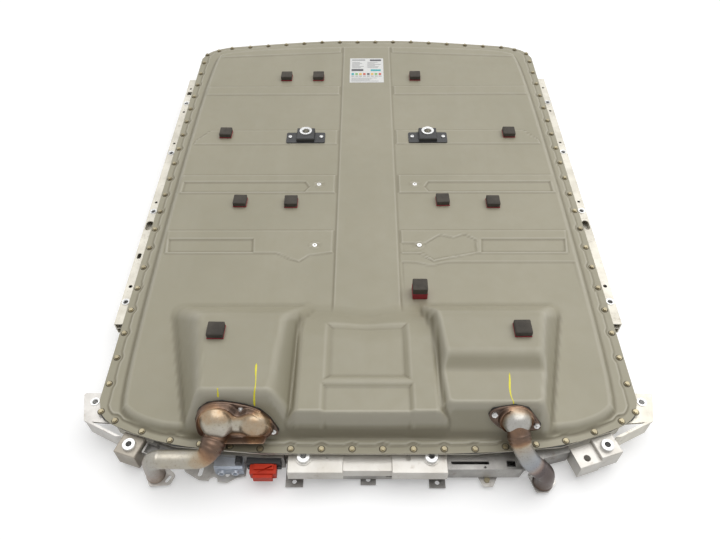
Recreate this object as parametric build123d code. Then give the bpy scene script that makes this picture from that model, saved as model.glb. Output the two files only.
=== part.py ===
"""Electric vehicle traction battery pack, millimetres, +Z up, +Y to the front of the vehicle.

The origin is at the bottom centre of the pack. The long edge of the pack runs along Y.
"""

from build123d import *
import math
import os

# ---- levels above the underside ----
floor_thickness = 4.0
tray_depth = 100.0
tray_flange_thickness = 4.0
gasket_thickness = 2.0
sheet = 2.0
deck_rise = 25.0
land_rise = 4.0
lobe_rise = 150.0
low_lobe_rise = 115.0
middle_rise = 105.0
recess_depth = 10.0
shelf_depth = 8.0
gasket_top = tray_depth + gasket_thickness
flange_top = gasket_top + sheet

# ---- plan of the cover ----
half_width = 720.0
front_edge = 1030.0
rear_edge = -967.0
tray_inset = 20.0
tray_wall = 6.0
tray_lip = 42.0
deck_half_width = 658.0

# ---- cover bolts ----
side_bolt_pitch = 85.0
side_bolt_count = 21
side_bolt_x = 706.5
first_side_bolt_y = 851.0
front_bolt_pitch = 80.0
rear_bolt_pitch = 78.0
edge_distance = 12.0
bolt_hole_radius = 3.4
bolt_radius = 3.0
bolt_head_radius = 7.0
bolt_head_height = 6.0
bolt_pad_radius = 17.0

# ---- inside ----
cross_member_pitch = 286.5
first_cross_member_y = 589.5
cross_member_count = 5
cross_member_width = 40.0
cross_member_wall = 3.0
cooling_plate_thickness = 8.0
module_gap = 8.0
module_inner_x = 75.0
module_outer_x = 685.0
shoulder_module_outer_x = 640.0
module_height = 84.0
coolant_pipe_x = 58.0
coolant_pipe_radius = 7.0
shelf_thickness = 3.0
cell_pitch = 61.0

# ---- side rails ----
rail_inner_x = 700.0
rail_outer_x = 750.0
rail_front_y = 735.0
rail_rear_y = -553.0
rail_top = 94.0
rail_height = 44.0
rail_wall = 3.0
rail_bush_x = 735.0
rail_bush_ys = (565.0, 246.0, -72.0, -470.0)
bush_radius = 12.0
bush_wall = 4.0
bush_bore_radius = 6.5
bush_stand = 2.0

# ---- rear mounts ----
ear_outer_x = 772.0
ear_front_y = -787.0
ear_rear_y = -872.0
ear_thickness = 6.0
ear_bush_x = 735.0
ear_bush_y = -814.0
block_ring_x = 617.0
block_ring_y = -934.0
block_angle = 18.0
block_length = 62.0
block_depth = 58.0
block_top = 84.0
block_height = 60.0
ring_radius = 17.0
ring_height = 10.0
ring_bore_radius = 8.0
centre_half_length = 203.0
centre_bar_half_length = 62.0
centre_depth = 62.0
centre_top = 82.0
centre_height = 36.0
centre_ring_x = 163.0
centre_ring_y = -969.0
rear_limit = -1030.0

# ---- pads ----
pad_size = 46.0
pad_height = 18.0
tape_height = 2.0
tall_pad_height = 45.0

# ---- vents ----
wall_run = 51.0
vent_sheet = 1.5
vent_gasket = 2.0
vent_flange = 3.0


def plan(points, radius=0.0, inset=0.0):
    """Flat face through the points, with rounded corners, offset inward by inset."""
    if radius > 0:
        face = make_face(FilletPolyline(*points, radius=radius, close=True).edges())
    else:
        face = make_face(Polyline(*points, close=True).edges())
    if inset != 0:
        face = offset(face, amount=-inset)
    return face


def mirrored(half):
    """Closed outline from the points of the +X half, front to rear."""
    return half + [(-x, y) for x, y in reversed(half)]


def slab(face, bottom, top, taper=0.0):
    """Prism or draughted block from the face between two levels."""
    return Pos(0, 0, bottom) * extrude(face, amount=top - bottom, taper=taper)


def group(solids):
    return Compound(children=list(solids))


front_shoulder = [(200, front_edge), (600, front_edge - 49), (648, front_edge - 64), (697, front_edge - 92)]
rear_shoulder = [(700, rear_edge + 97), (631, rear_edge + 63), (494, rear_edge + 19), (269, rear_edge)]
cover_half = front_shoulder + [(half_width, front_edge - 145), (half_width, rear_edge + 152)] + rear_shoulder
deck_half = [
    (200, front_edge - 90),
    (600, front_edge - 122),
    (deck_half_width, front_edge - 180),
    (deck_half_width, rear_edge + 150),
    (610, rear_edge + 92),
    (470, rear_edge + 56),
]


def cover_outline(inset=0.0):
    return plan(mirrored(cover_half), 24, inset)


def deck_outline(inset=0.0):
    return plan(mirrored(deck_half), 30, inset)


def edge_line(points, x):
    """Y of the edge polyline at x, by straight interpolation."""
    for (x0, y0), (x1, y1) in zip(points, points[1:]):
        if x0 <= x <= x1:
            return y0 + (y1 - y0) * (x - x0) / (x1 - x0)
    return points[0][1]


def bolt_places():
    """Centres of the cover bolts: two straight rows and the bolts along the shoulders."""
    places = []
    for side in (-1, 1):
        for index in range(side_bolt_count):
            places.append((side * side_bolt_x, first_side_bolt_y - side_bolt_pitch * index))
        for index in range(8):
            x = front_bolt_pitch * (index + 0.5)
            places.append((side * x, edge_line(front_shoulder, x) - edge_distance))
        places.append((side * (front_shoulder[2][0] + 8), front_shoulder[2][1] - 18))
        places.append((side * (side_bolt_x - 4), front_edge - 115))
        rear_points = list(reversed(rear_shoulder))
        for index in range(9):
            x = rear_bolt_pitch * (index + 0.5)
            y = rear_edge if x < rear_points[0][0] else edge_line(rear_points, x)
            places.append((side * x, y + edge_distance))
    return places


bolts = bolt_places()


# ---- top cover ----
cross_members = [first_cross_member_y - cross_member_pitch * i for i in range(cross_member_count)]
rib_width = 38.0
groove_width = 30.0
rib_offsets = (58.0, 68.0, 58.0, 66.0)
groove_offsets = (-2.0, -55.0, -19.0, None)
bead_height = 4.0
strip_half_width = 100.0
strip_rise = 3.0
panel_inner_x = 116.0
panel_outer_x = 622.0
lobe_front_y = -490.0
middle_front_y = -493.0


def rounded_bar(x0, x1, y0, y1, radius):
    return plan([(x0, y0), (x1, y0), (x1, y1), (x0, y1)], radius)


def lobe(base, top, rise, skin):
    """One raised housing: straight loft between a wide foot and a smaller roof."""
    foot = Pos(0, 0, flange_top - skin) * plan(base, 45, skin)
    roof = Pos(0, 0, flange_top + rise - skin) * plan(top, 28, skin)
    return loft([foot, roof], ruled=True)


def cover_form(skin):
    """Outside of the cover for skin 0, or its inside for the sheet thickness."""
    top = flange_top - skin
    low = gasket_top - 1.0 if skin else gasket_top
    land = slab(cover_outline(22 + skin), low, top + land_rise)
    for x, y in bolts:
        land -= Pos(x, y, top + land_rise / 2) * Cylinder(bolt_pad_radius + skin, land_rise)
    if skin == 0:
        land += slab(cover_outline(), gasket_top, flange_top)
    deck = slab(deck_outline(skin - 17), low, top + deck_rise, 34)
    strip = rounded_bar(-strip_half_width, strip_half_width, middle_front_y - 60, front_edge - 96, 12)
    deck += slab(offset(strip, amount=-skin), top + deck_rise - 8, top + deck_rise + strip_rise)
    for side in (-1, 1):
        xs = sorted((side * panel_inner_x, side * panel_outer_x))
        for y, rib, groove in zip(cross_members, rib_offsets, groove_offsets):
            bar = rounded_bar(xs[0], xs[1], y + rib - rib_width / 2, y + rib + rib_width / 2, 14)
            deck += slab(offset(bar, amount=-skin), top + deck_rise - 8, top + deck_rise + bead_height, 25)
            if groove is not None:
                low_y, high_y = y + groove - groove_width / 2, y + groove + groove_width / 2
                bar = rounded_bar(xs[0], xs[1], low_y, high_y, 10)
                deck -= slab(offset(bar, amount=skin), top + deck_rise - bead_height, top + deck_rise + 8)
    rear = rear_edge + 40
    left_base = [(-600, lobe_front_y), (-150, lobe_front_y), (-150, rear), (-475, rear)]
    left_top = [(-460, -632), (-216, -632), (-235, rear + wall_run), (-420, rear + wall_run)]
    right_base = [(150, lobe_front_y), (585, lobe_front_y), (476, rear), (150, rear)]
    right_top = [(190, -625), (479, -625), (425, rear + wall_run), (214, rear + wall_run)]
    middle_base = [(-212, middle_front_y), (205, middle_front_y), (205, rear), (-212, rear)]
    middle_top = [(-212, -640), (205, -640), (205, rear + 19), (-212, rear + 19)]
    left_lobe = lobe(left_base, left_top, lobe_rise, skin)
    right_lobe = lobe(right_base, right_top, lobe_rise, skin)
    low_roof = top + low_lobe_rise
    step = plan([(-755, top + lobe_rise + 1), (-785, low_roof), (-1000, low_roof), (-1000, 400), (-755, 400)])
    right_lobe -= Plane.YZ.offset(140) * extrude(step, amount=400)
    middle = loft(
        [
            Pos(0, 0, top) * plan(middle_base, 0, skin),
            Pos(0, 0, flange_top + middle_rise - skin) * plan(middle_top, 0, skin),
        ],
        ruled=True,
    )
    recess = rounded_bar(-104, 104, -805, -632, 16)
    middle_roof = flange_top + middle_rise
    middle -= slab(offset(recess, amount=skin), middle_roof - recess_depth - skin, middle_roof + 20)
    shelf = rounded_bar(-104, 104, -895, -829, 14)
    middle -= slab(offset(shelf, amount=skin), middle_roof - shelf_depth - skin, middle_roof + 20)
    form = land + deck + middle + left_lobe + right_lobe
    if skin == 0:
        for x, y in bolts:
            form -= Pos(x, y, flange_top) * Cylinder(bolt_hole_radius, 4 * sheet)
        for x, y in deck_screw_places + lift_screw_places():
            form -= Pos(x, y, flange_top + deck_rise) * Cylinder(bolt_hole_radius, 6 * sheet)
    return form


def make_cover():
    return cover_form(0) - cover_form(sheet)


def bolt_holes(solid, level):
    for x, y in bolts:
        solid -= Pos(x, y, level) * Cylinder(bolt_hole_radius, 30)
    return solid


def make_gasket():
    ring = slab(cover_outline(1), tray_depth, gasket_top) - slab(cover_outline(21), tray_depth, gasket_top)
    return bolt_holes(ring, tray_depth)


def make_tray():
    wall = slab(cover_outline(tray_inset), floor_thickness, tray_depth)
    wall -= slab(cover_outline(tray_inset + tray_wall), floor_thickness, tray_depth)
    lip = slab(cover_outline(1), tray_depth - tray_flange_thickness, tray_depth)
    lip -= slab(cover_outline(tray_lip), tray_depth - tray_flange_thickness, tray_depth)
    return bolt_holes(wall + lip, tray_depth)


def make_floor():
    plate = slab(cover_outline(tray_inset), 0, floor_thickness)
    for y in cross_members:
        for x in (-450, -150, 150, 450):
            plate -= Pos(x, y, 0) * Cylinder(9, 3.0)
    return plate


def make_bolts():
    top = flange_top
    made = []
    for x, y in bolts:
        head = extrude(RegularPolygon(bolt_head_radius - 1.2, 6), amount=bolt_head_height)
        bolt = head + extrude(Circle(bolt_head_radius), amount=1.8)
        bolt += Pos(0, 0, -(top - tray_depth + tray_flange_thickness + 1)) * extrude(
            Circle(bolt_radius), amount=top - tray_depth + tray_flange_thickness + 1
        )
        made.append(Pos(x, y, top) * bolt)
    return group(made)


def make_cross_member(y):
    """Hollow extruded beam with a middle web, standing on the floor between the tray walls."""
    top = tray_depth - tray_flange_thickness - 1
    reach = half_width - tray_inset - tray_wall
    section = Rectangle(cross_member_width, top - floor_thickness)
    for side in (-1, 1):
        cell_width = cross_member_width / 2 - 1.5 * cross_member_wall
        cell = Rectangle(cell_width, top - floor_thickness - 2 * cross_member_wall)
        section -= Pos(side * (cell_width + cross_member_wall) / 2, 0) * cell
    beam = Pos(0, y, (top + floor_thickness) / 2) * (Plane.YZ * extrude(section, amount=reach, both=True))
    notch = 2 * (coolant_pipe_radius + 2)
    for side in (-1, 1):
        beam -= Pos(side * coolant_pipe_x, y, floor_thickness) * Box(notch, 2 * cross_member_width, 2 * notch)
    return beam


def bay_limits():
    """Front and rear limits of each cell bay, between cross members or a shoulder."""
    half = cross_member_width / 2
    walls = [front_edge - 150] + [v for y in cross_members for v in (y + half, y - half)] + [rear_edge + 105]
    limits = [(walls[i], walls[i + 1]) for i in range(0, len(walls), 2)]
    outers = [shoulder_module_outer_x] + [module_outer_x] * (len(limits) - 2) + [shoulder_module_outer_x]
    return [(front, rear, outer) for (front, rear), outer in zip(limits, outers)]


def make_module(x0, x1, front, rear, bottom, height):
    """Cell module: a block of cells with rounded corners and a groove between the cells."""
    length = front - rear - 2 * module_gap
    x = (x0 + x1) / 2
    y = (front + rear) / 2
    width = x1 - x0
    body = Pos(x, y, bottom + height / 2) * Box(width, length, height)
    body = fillet(body.edges().filter_by(Axis.Z), 6)
    count = max(2, int((width - 30) / cell_pitch))
    step = (width - 30) / count
    for index in range(1, count):
        groove_x = x - width / 2 + 15 + step * index
        body -= Pos(groove_x, y, bottom + height) * Box(3, length - 20, 4)
    return body


def make_cooling_plates():
    plates = []
    for front, rear, outer in bay_limits():
        for side in (-1, 1):
            plate = Pos(
                side * (module_inner_x + outer) / 2,
                (front + rear) / 2,
                floor_thickness + cooling_plate_thickness / 2,
            ) * Box(outer - module_inner_x, front - rear - 2 * module_gap, cooling_plate_thickness)
            plates.append(plate)
    return group(plates)


def make_coolant_pipes():
    """Two lengthwise pipes with a short branch into each cooling plate."""
    pipes = []
    bays = bay_limits()
    front = bays[0][0] - 40
    rear = bays[-1][1] + 40
    level = floor_thickness + coolant_pipe_radius
    for side in (-1, 1):
        place = Pos(side * coolant_pipe_x, (front + rear) / 2, level) * Rot(90, 0, 0)
        pipe = place * Rot(0, 0, 45) * Cylinder(
            coolant_pipe_radius, front - rear
        )
        for bay_front, bay_rear, outer in bays:
            start = coolant_pipe_x
            branch = Pos(side * (start + module_inner_x) / 2, (bay_front + bay_rear) / 2, floor_thickness + 4)
            pipe += branch * Rot(0, 90, 0) * Cylinder(3, module_inner_x - start)
        pipes.append(pipe)
    return group(pipes)


def make_busbars():
    """Flat copper bars resting on the cross members, with a bend at the front end."""
    level = tray_depth - tray_flange_thickness - 1
    front = cross_members[0] + 30
    rear = cross_members[-1] - 12
    bars = []
    for side in (-1, 1):
        bar = Pos(side * 26, (front + rear) / 2, level + 1.5) * Box(28, front - rear, 3)
        for y in cross_members:
            bar -= Pos(side * 26, y, level) * Cylinder(4, 12)
        bars.append(bar)
    return group(bars)


shelf_level = floor_thickness + cooling_plate_thickness + module_height
upper_level = shelf_level + shelf_thickness


def make_shelf():
    """Sheet shelf over the rear modules; it carries the upper modules and the control boxes."""
    shelf = slab(plan([(-440, -850), (440, -850), (440, -582), (-440, -582)], 12), shelf_level, upper_level)
    for x in (-200, 180):
        shelf -= Pos(x, -760, upper_level) * extrude(SlotOverall(120, 22, rotation=90), 6, both=True)
    return shelf


def make_upper_module(x0, x1, height):
    return make_module(x0, x1, -637, -858, upper_level, height)


def make_box_with_lid(x0, x1, y0, y1, height, plugs):
    """Moulded box with a flanged lid and a row of sockets on its front."""
    x = (x0 + x1) / 2
    y = (y0 + y1) / 2
    body = Pos(x, y, upper_level + height / 2) * Box(x1 - x0 - 8, y1 - y0 - 16, height)
    body = fillet(body.edges().filter_by(Axis.Z), 5)
    body += Pos(x, y, upper_level + height - 5) * Box(x1 - x0, y1 - y0 - 8, 4)
    for index in range(plugs):
        socket_x = x0 + (x1 - x0) * (index + 0.5) / plugs
        body += Pos(socket_x, y1 - 6, upper_level + height / 2 - 4) * Box(22, 12, 16)
    return body


# ---- rails and their bushes ----
def make_rail(side):
    """Hollow rail with bush bores, slots and lightening holes, welded along the tray wall."""
    width = rail_outer_x - rail_inner_x
    section = Rectangle(width, rail_height) - Rectangle(width - 2 * rail_wall, rail_height - 2 * rail_wall)
    section += Pos(0, 0) * Rectangle(width - rail_wall, rail_wall)
    length = rail_front_y - rail_rear_y
    rail = Plane.XZ * extrude(section, amount=length / 2, both=True)
    middle_x = side * (rail_inner_x + rail_outer_x) / 2
    bush_x, level = side * rail_bush_x, rail_top - rail_height / 2
    rail = Pos(middle_x, (rail_front_y + rail_rear_y) / 2, level) * rail
    for y in rail_bush_ys:
        rail += Pos(bush_x, y, level) * Cylinder(bush_radius + bush_wall, rail_height)
        rail -= Pos(bush_x, y, level) * Cylinder(bush_radius, rail_height + 10)
    for y, radius in ((669, 5), (506, 5), (303, 5), (-26, 5), (-408, 6)):
        rail -= Pos(bush_x, y, rail_top) * Cylinder(radius, 2 * rail_wall + 4)
    rail -= Pos(bush_x, -141, rail_top) * extrude(SlotOverall(44, 22, rotation=90), 10, both=True)
    if side < 0:
        slot = extrude(SlotOverall(24, 13, rotation=90), 10, both=True)
        rail -= Pos(bush_x - 2, -280, rail_top) * slot
        rail -= Pos(bush_x, 635, rail_top) * Box(18, 22, 2 * rail_wall + 4)
    inside = slab(cover_outline(tray_inset), 0, tray_depth)
    return rail - inside


def make_bush(x, y, bottom, top, radius=bush_radius, bore=bush_bore_radius):
    """Turned steel sleeve with a chamfered mouth."""
    sleeve = Pos(x, y, (bottom + top) / 2) * Cylinder(radius, top - bottom)
    sleeve -= Pos(x, y, (bottom + top) / 2) * Cylinder(bore, top - bottom + 2)
    mouth = sleeve.edges().filter_by(GeomType.CIRCLE).group_by(Axis.Z)[-1].sort_by(SortBy.RADIUS)[0]
    return chamfer(mouth, 2.0)


def make_rail_bushes():
    bottom = rail_top - rail_height - bush_stand
    places = [(side * rail_bush_x, y) for side in (-1, 1) for y in rail_bush_ys]
    return group(make_bush(x, y, bottom, rail_top + bush_stand) for x, y in places)


# ---- rear mounts ----
def make_corner_bracket(side):
    """Ear plate for the corner bush with the diagonal web that runs on to the angled block."""
    tray_side = half_width - tray_inset
    outline = [
        (tray_side - 60, ear_front_y),
        (ear_outer_x, ear_front_y),
        (ear_outer_x - 22, ear_rear_y),
        (tray_side - 80, ear_rear_y - 10),
    ]
    plate = slab(plan(outline, 6), rail_top - ear_thickness, rail_top)
    web = [(ear_outer_x - 26, ear_rear_y), (ear_outer_x - 40, ear_rear_y), (642, -915), (656, -915)]
    bracket = plate + slab(plan(web), block_top - block_height + 10, rail_top)
    bracket += Pos(ear_bush_x, ear_bush_y, rail_top - 15) * Cylinder(bush_radius + bush_wall, 30)
    bracket -= Pos(ear_bush_x, ear_bush_y, rail_top - 15) * Cylinder(bush_radius, 60)
    bracket -= slab(cover_outline(tray_inset), 0, tray_depth)
    bracket -= block_envelope(1, 0.0)
    if side < 0:
        bracket = mirror(bracket, Plane.YZ)
    return bracket


def block_place(side):
    """Centre and turn of the angled block on one side."""
    return Pos(side * block_ring_x, block_ring_y, block_top - block_height / 2) * Rot(0, 0, side * block_angle)


def block_envelope(side, clearance):
    """Box of the angled block in place, grown by the clearance."""
    return block_place(side) * Box(block_length + clearance, block_depth + clearance, block_height + clearance)


def make_angled_block(side):
    """Machined block at the rear corner; the right one has a lower foot with a plain hole."""
    block = Box(block_length, block_depth, block_height)
    block = fillet(block.edges().filter_by(Axis.Z), 3)
    block = chamfer(block.faces().sort_by(Axis.Z)[-1].edges(), 2)
    if side > 0:
        foot = Pos(-block_length + 2, -4, -5) * Box(block_length, block_depth, block_height - 10)
        foot -= Pos(-block_length, -12, 0) * Cylinder(9, block_height)
        block += chamfer(foot.faces().sort_by(Axis.Z)[-1].edges().filter_by(Axis.X), 2)
    block -= Pos(-2 * side, -2, 0) * Cylinder(ring_radius - 4, block_height + 10)
    block = block_place(side) * block
    return block - slab(cover_outline(tray_inset), 0, tray_depth)


def block_ring_place(side):
    angle = math.radians(side * block_angle)
    dx, dy = -2 * side, -2
    x = side * block_ring_x + dx * math.cos(angle) - dy * math.sin(angle)
    y = block_ring_y + dx * math.sin(angle) + dy * math.cos(angle)
    return x, y


def make_ring(x, y, bottom, top):
    """Collared sleeve: the stem sits in its block and the wider ring stands on it."""
    stem = Pos(x, y, (bottom + top) / 2) * Cylinder(ring_radius - 4, top - bottom)
    collar = Pos(x, y, top + ring_height / 2) * Cylinder(ring_radius, ring_height)
    ring = stem + chamfer(collar.edges().filter_by(GeomType.CIRCLE).group_by(Axis.Z)[-1], 1.5)
    return ring - Pos(x, y, (bottom + top) / 2) * Cylinder(ring_bore_radius, 2 * (top - bottom))


def make_centre_block():
    """Machined rear block: two raised ends joined by a lower bar, with a boss under each ring."""
    far = rear_edge + tray_inset
    middle_y = far - centre_depth / 2
    bar = Pos(0, middle_y, centre_top - 5 - (centre_height - 5) / 2) * Box(
        2 * centre_half_length, centre_depth - 16, centre_height - 5
    )
    block = bar
    end_length = centre_half_length - centre_bar_half_length
    for side in (-1, 1):
        end = Box(end_length, centre_depth, centre_height)
        end = chamfer(end.faces().sort_by(Axis.Z)[-1].edges(), 1.2)
        x = side * (centre_half_length - end_length / 2)
        block += Pos(x, middle_y, centre_top - centre_height / 2) * end
        block += Pos(side * centre_ring_x, centre_ring_y, centre_top + 1) * Cylinder(ring_radius + 4, 2)
        through = Cylinder(ring_radius - 4, 3 * centre_height)
        block -= Pos(side * centre_ring_x, centre_ring_y, centre_top) * through
    block -= Pos(104, centre_ring_y + 2, centre_top) * extrude(SlotOverall(22, 12, rotation=90), 8, both=True)
    block -= Pos(-104, centre_ring_y, centre_top) * Cylinder(3, 12)
    return block


def make_centre_bracket():
    """Folded dark bracket under the centre block, with three tabs low down."""
    under = centre_top - centre_height
    y0 = rear_edge + tray_inset
    body = Pos(20, y0 - 26, under - 14) * Box(300, 48, 28)
    body -= Pos(20, y0 - 26, under - 18) * Box(292, 40, 28)
    body -= Pos(60, y0 - 50, under - 10) * Box(26, 8, 9)
    for x, width, reach in ((-190, 46, 1014), (2, 40, 1008), (181, 42, 1016)):
        foot = Pos(x, (y0 - reach) / 2, 8) * Box(width, reach + y0, 4)
        foot += Pos(x, y0 - 6, (under + 6) / 2) * Box(width, 4, under - 6)
        foot -= Pos(x, -reach + 14, 8) * Cylinder(6, 10)
        body += foot
    return body


def make_right_beam():
    """Channel beam under the rear flange, from the centre block out to the angled block."""
    x0 = centre_half_length + 1
    x1 = block_ring_x - block_length / 2 - 64
    y = rear_edge
    outline = [(x0, y + 60), (x0, y - 28), (392, y - 27), (408, y - 9), (x1, y + 20), (x1, y + 80)]
    hollow = [(x0, y + 66), (x0, y - 22), (388, y - 21), (404, y - 3), (x1, y + 26), (x1, y + 86)]
    beam = slab(plan(outline), 24, 72) - slab(plan(hollow), 28, 68)
    beam -= Pos(262, y - 10, 70) * Box(96, 8, 30)
    beam -= Pos(366, y - 12, 70) * Box(22, 16, 30)
    beam -= Pos(299, y - 22, 70) * Cylinder(3, 30)
    return beam - slab(cover_outline(tray_inset), 0, tray_depth)


def make_left_sill():
    """Narrow sill under the flange that carries the ports on the left."""
    x0 = centre_half_length + 12
    x1 = block_ring_x - block_length / 2 - 26
    sill = slab(cover_outline(sill_inset), 14, 72) - slab(cover_outline(tray_inset), 14, 72)
    return sill & Pos(-(x0 + x1) / 2, rear_edge + 60, 43) * Box(x1 - x0, 140, 60)


def make_block_bracket():
    """Small dark angle between the left angled block and the sill."""
    bracket = Pos(-566, -937, 62) * Rot(0, 0, -block_angle) * Box(30, 34, 20)
    bracket -= Pos(-562, -941, 66) * Rot(0, 0, -block_angle) * Box(30, 26, 20)
    return bracket - slab(cover_outline(sill_inset), 0, tray_depth) - block_envelope(-1, 0.0)


def make_tow_tab():
    """Three-cornered tab with a bolt, low under the right rear beam."""
    y = rear_edge - 20
    tab = slab(plan([(272, y + 38), (358, y + 38), (324, y - 28), (298, y - 28)], 8), 12, 17)
    tab += Pos(315, y + 8, 20.5) * Box(60, 8, 7)
    return tab - Pos(309, y - 12, 14) * Cylinder(4.2, 12)


def make_tow_bolt():
    y = rear_edge - 32
    bolt = Pos(309, y, 17) * extrude(RegularPolygon(8, 6), amount=6)
    return bolt + Pos(309, y, 10) * extrude(Circle(4), amount=8)


# ---- rear ports on the left ----
sill_inset = 3.0


def make_port_plate():
    """Low sheet plate with a slotted ear, a bolt ear and a small drilled ear."""
    y = rear_edge
    outline = [(-482, y + 40), (-318, y + 20), (-318, y - 20), (-345, y - 26)]
    outline += [(-366, y - 38), (-440, y - 30), (-482, y - 6)]
    plate = slab(plan(outline, 6), 10, 14)
    plate -= Pos(-438, y - 8, 10) * extrude(SlotOverall(26, 12, rotation=80), 6, both=True)
    plate -= Pos(-402, y - 34, 10) * Cylinder(12, 10)
    plate -= Pos(-366, y - 16, 10) * Cylinder(6, 10)
    plate -= Pos(-336, y - 8, 10) * Cylinder(6, 10)
    return plate - slab(cover_outline(tray_inset), 0, tray_depth)


def make_port_casting():
    """Ribbed aluminium coolant port block standing on the port plate."""
    y = rear_edge + 4
    body = Pos(-359, y, 14) * extrude(Rectangle(74, 36), amount=44)
    for index in range(5):
        body += Pos(-359, y - 19, 19 + 8 * index) * Box(74, 4, 3)
    for x in (-378, -342):
        body += Pos(x, y - 22, 36) * Rot(90, 0, 0) * Cylinder(9, 14)
        body -= Pos(x, y - 26, 36) * Rot(90, 0, 0) * Cylinder(6, 18)
    return body - slab(cover_outline(sill_inset), 0, tray_depth)


def make_signal_connector():
    """Small black signal connector on top of the port casting."""
    body = Pos(-331, rear_edge + 1, 58) * extrude(Rectangle(17, 26), amount=14)
    body += Pos(-331, rear_edge - 4, 72) * extrude(Rectangle(11, 15), amount=6)
    body -= Pos(-331, rear_edge - 4, 75) * extrude(Rectangle(7, 11), amount=6)
    return body - slab(cover_outline(sill_inset), 0, tray_depth)


def make_connector_base():
    """Dark flange of the high voltage connector, seated on the sill."""
    base = Pos(-267, rear_edge - 3, 34) * extrude(Rectangle(88, 16), amount=36)
    for x in (-306, -228):
        base += Pos(x, rear_edge - 12, 52) * Rot(90, 0, 0) * Cylinder(4.5, 4)
    return base - slab(cover_outline(sill_inset), 0, tray_depth)


def make_connector():
    """Plug housing: stepped body, raised lever over it and a lip below."""
    y = rear_edge - 10
    body = Pos(-267, y - 13.5, 36) * extrude(Rectangle(68, 25), amount=28)
    body = fillet(body.edges().filter_by(Axis.Z), 3)
    body += Pos(-265, y - 9, 64) * extrude(Rectangle(50, 14), amount=5)
    body += Pos(-267, y - 30, 38) * extrude(Rectangle(50, 10), amount=22)
    body -= Pos(-262, y - 16, 66) * Rot(0, 0, 24) * Box(40, 4, 8)
    return body


# ---- deck fittings ----
deck_level = flange_top + deck_rise
lift_bracket_x = 228.0
lift_bracket_y = 304.0
lift_ring_radius = 23.0
lift_ring_bore = 13.0
lift_height = 20.0
sleeve_stand = 3.0
lift_screw_offset = 58.0
deck_screw_places = [(x, y) for x in (-167.0, 167.0) for y in (24.0, -268.0)]
pad_places = [(-331, 692), (-199, 692), (200, 692), (-530, 307), (533, 307)]
pad_places += [(-430, -67), (-257, -70), (257, -62), (426, -72)]
lobe_pad_places = [(-397, -699), (408, -690)]
tall_pad_place = (157, -466)


def lift_screw_places():
    return [
        (side * lift_bracket_x + sign * lift_screw_offset, lift_bracket_y - 17)
        for side in (-1, 1)
        for sign in (-1, 1)
    ]


def make_lift_bracket(side):
    """Black bracket: raised middle round the sleeve and two low screw feet."""
    x = side * lift_bracket_x
    foot = Pos(x, lift_bracket_y - 20, deck_level + 3) * Box(144, 60, 6)
    foot = fillet(foot.edges().filter_by(Axis.Z), 6)
    middle = Pos(x, lift_bracket_y - 12, deck_level + lift_height / 2) * Box(66, 66, lift_height)
    bracket = foot + chamfer(middle.faces().sort_by(Axis.Z)[-1].edges(), 3)
    bracket -= Pos(x, lift_bracket_y, deck_level) * Cylinder(lift_ring_radius, 3 * lift_height)
    for sign in (-1, 1):
        bracket -= Pos(x + sign * lift_screw_offset, lift_bracket_y - 17, deck_level) * Cylinder(3.3, 20)
    return bracket


def make_lift_sleeves():
    top = deck_level + lift_height + sleeve_stand
    ring = (lift_ring_radius, lift_ring_bore)
    return group(
        make_bush(side * lift_bracket_x, lift_bracket_y, deck_level, top, *ring) for side in (-1, 1)
    )


def make_screw(x, y, seat, reach, head=7.0, shank=2.8):
    """Low round screw head with a hexagon socket."""
    screw = Pos(x, y, seat) * extrude(Circle(head), amount=4)
    screw = fillet(screw.edges().group_by(Axis.Z)[-1], 1.5)
    screw -= Pos(x, y, seat + 2) * extrude(RegularPolygon(3.2, 6), amount=3)
    return screw + Pos(x, y, reach) * extrude(Circle(shank), amount=seat - reach)


def make_deck_screws():
    return group(make_screw(x, y, deck_level, tray_depth, 8.0) for x, y in deck_screw_places)


def make_bracket_screws():
    return group(make_screw(x, y, deck_level + 6, tray_depth) for x, y in lift_screw_places())


def make_pads(bottom_offset, heights, size):
    """Square blocks on the deck and on the raised housings."""
    made = []
    levels = [(x, y, deck_level, heights[0]) for x, y in pad_places]
    levels += [(x, y, flange_top + lobe_rise, heights[0]) for x, y in lobe_pad_places]
    levels.append((tall_pad_place[0], tall_pad_place[1], deck_level, heights[1]))
    for x, y, level, height in levels:
        block = Pos(x, y, level + bottom_offset + height / 2) * Box(size, size, height)
        made.append(fillet(block.edges().filter_by(Axis.Z), 3))
    return group(made)


# ---- vents on the rear wall of the raised housings ----
wall_slope = wall_run / lobe_rise
wall_angle = math.degrees(math.atan2(lobe_rise, wall_run))
rear_foot = rear_edge + 40


def wall_plane(x, level, lift=0.0):
    """Plane on the sloping rear wall: x runs to +X, y runs up the wall, z points out."""
    y = rear_foot + (level - flange_top) * wall_slope
    normal = Vector(0, -lobe_rise, wall_run).normalized()
    origin = Vector(x, y, level) + normal * lift
    return Plane(origin=origin, x_dir=(1, 0, 0), z_dir=normal)


left_vent_place = (-325.0, 165.0)
left_vent_outline = [(-110, 4), (-96, 40), (-72, 60), (-36, 66), (22, 54)]
left_vent_outline += [(58, 38), (82, 10), (102, -32), (94, -46), (-96, -46)]
left_vent_nuts = [(-96, 2), (11, 43), (87, -30)]
right_vent_place = (371.0, 178.0)
right_vent_outline = [(-70, 8), (-60, 28), (-6, 40), (30, 30), (68, -26), (60, -44), (-26, -46), (-60, -12)]
right_vent_nuts = [(-55, 12), (54, -24)]
neck_length = 50.0
left_joint = (-386, -966, 136)
left_run = [(-394, -992, 106), (-556, -986, 98), (-556, -986, 17)]
right_joint = (382, -952, 145)
right_run = [(400, -988, 112), (452, -1004, 72), (452, -1004, 17)]
left_pipe_radius = 22.0
right_pipe_radius = 24.0


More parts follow.
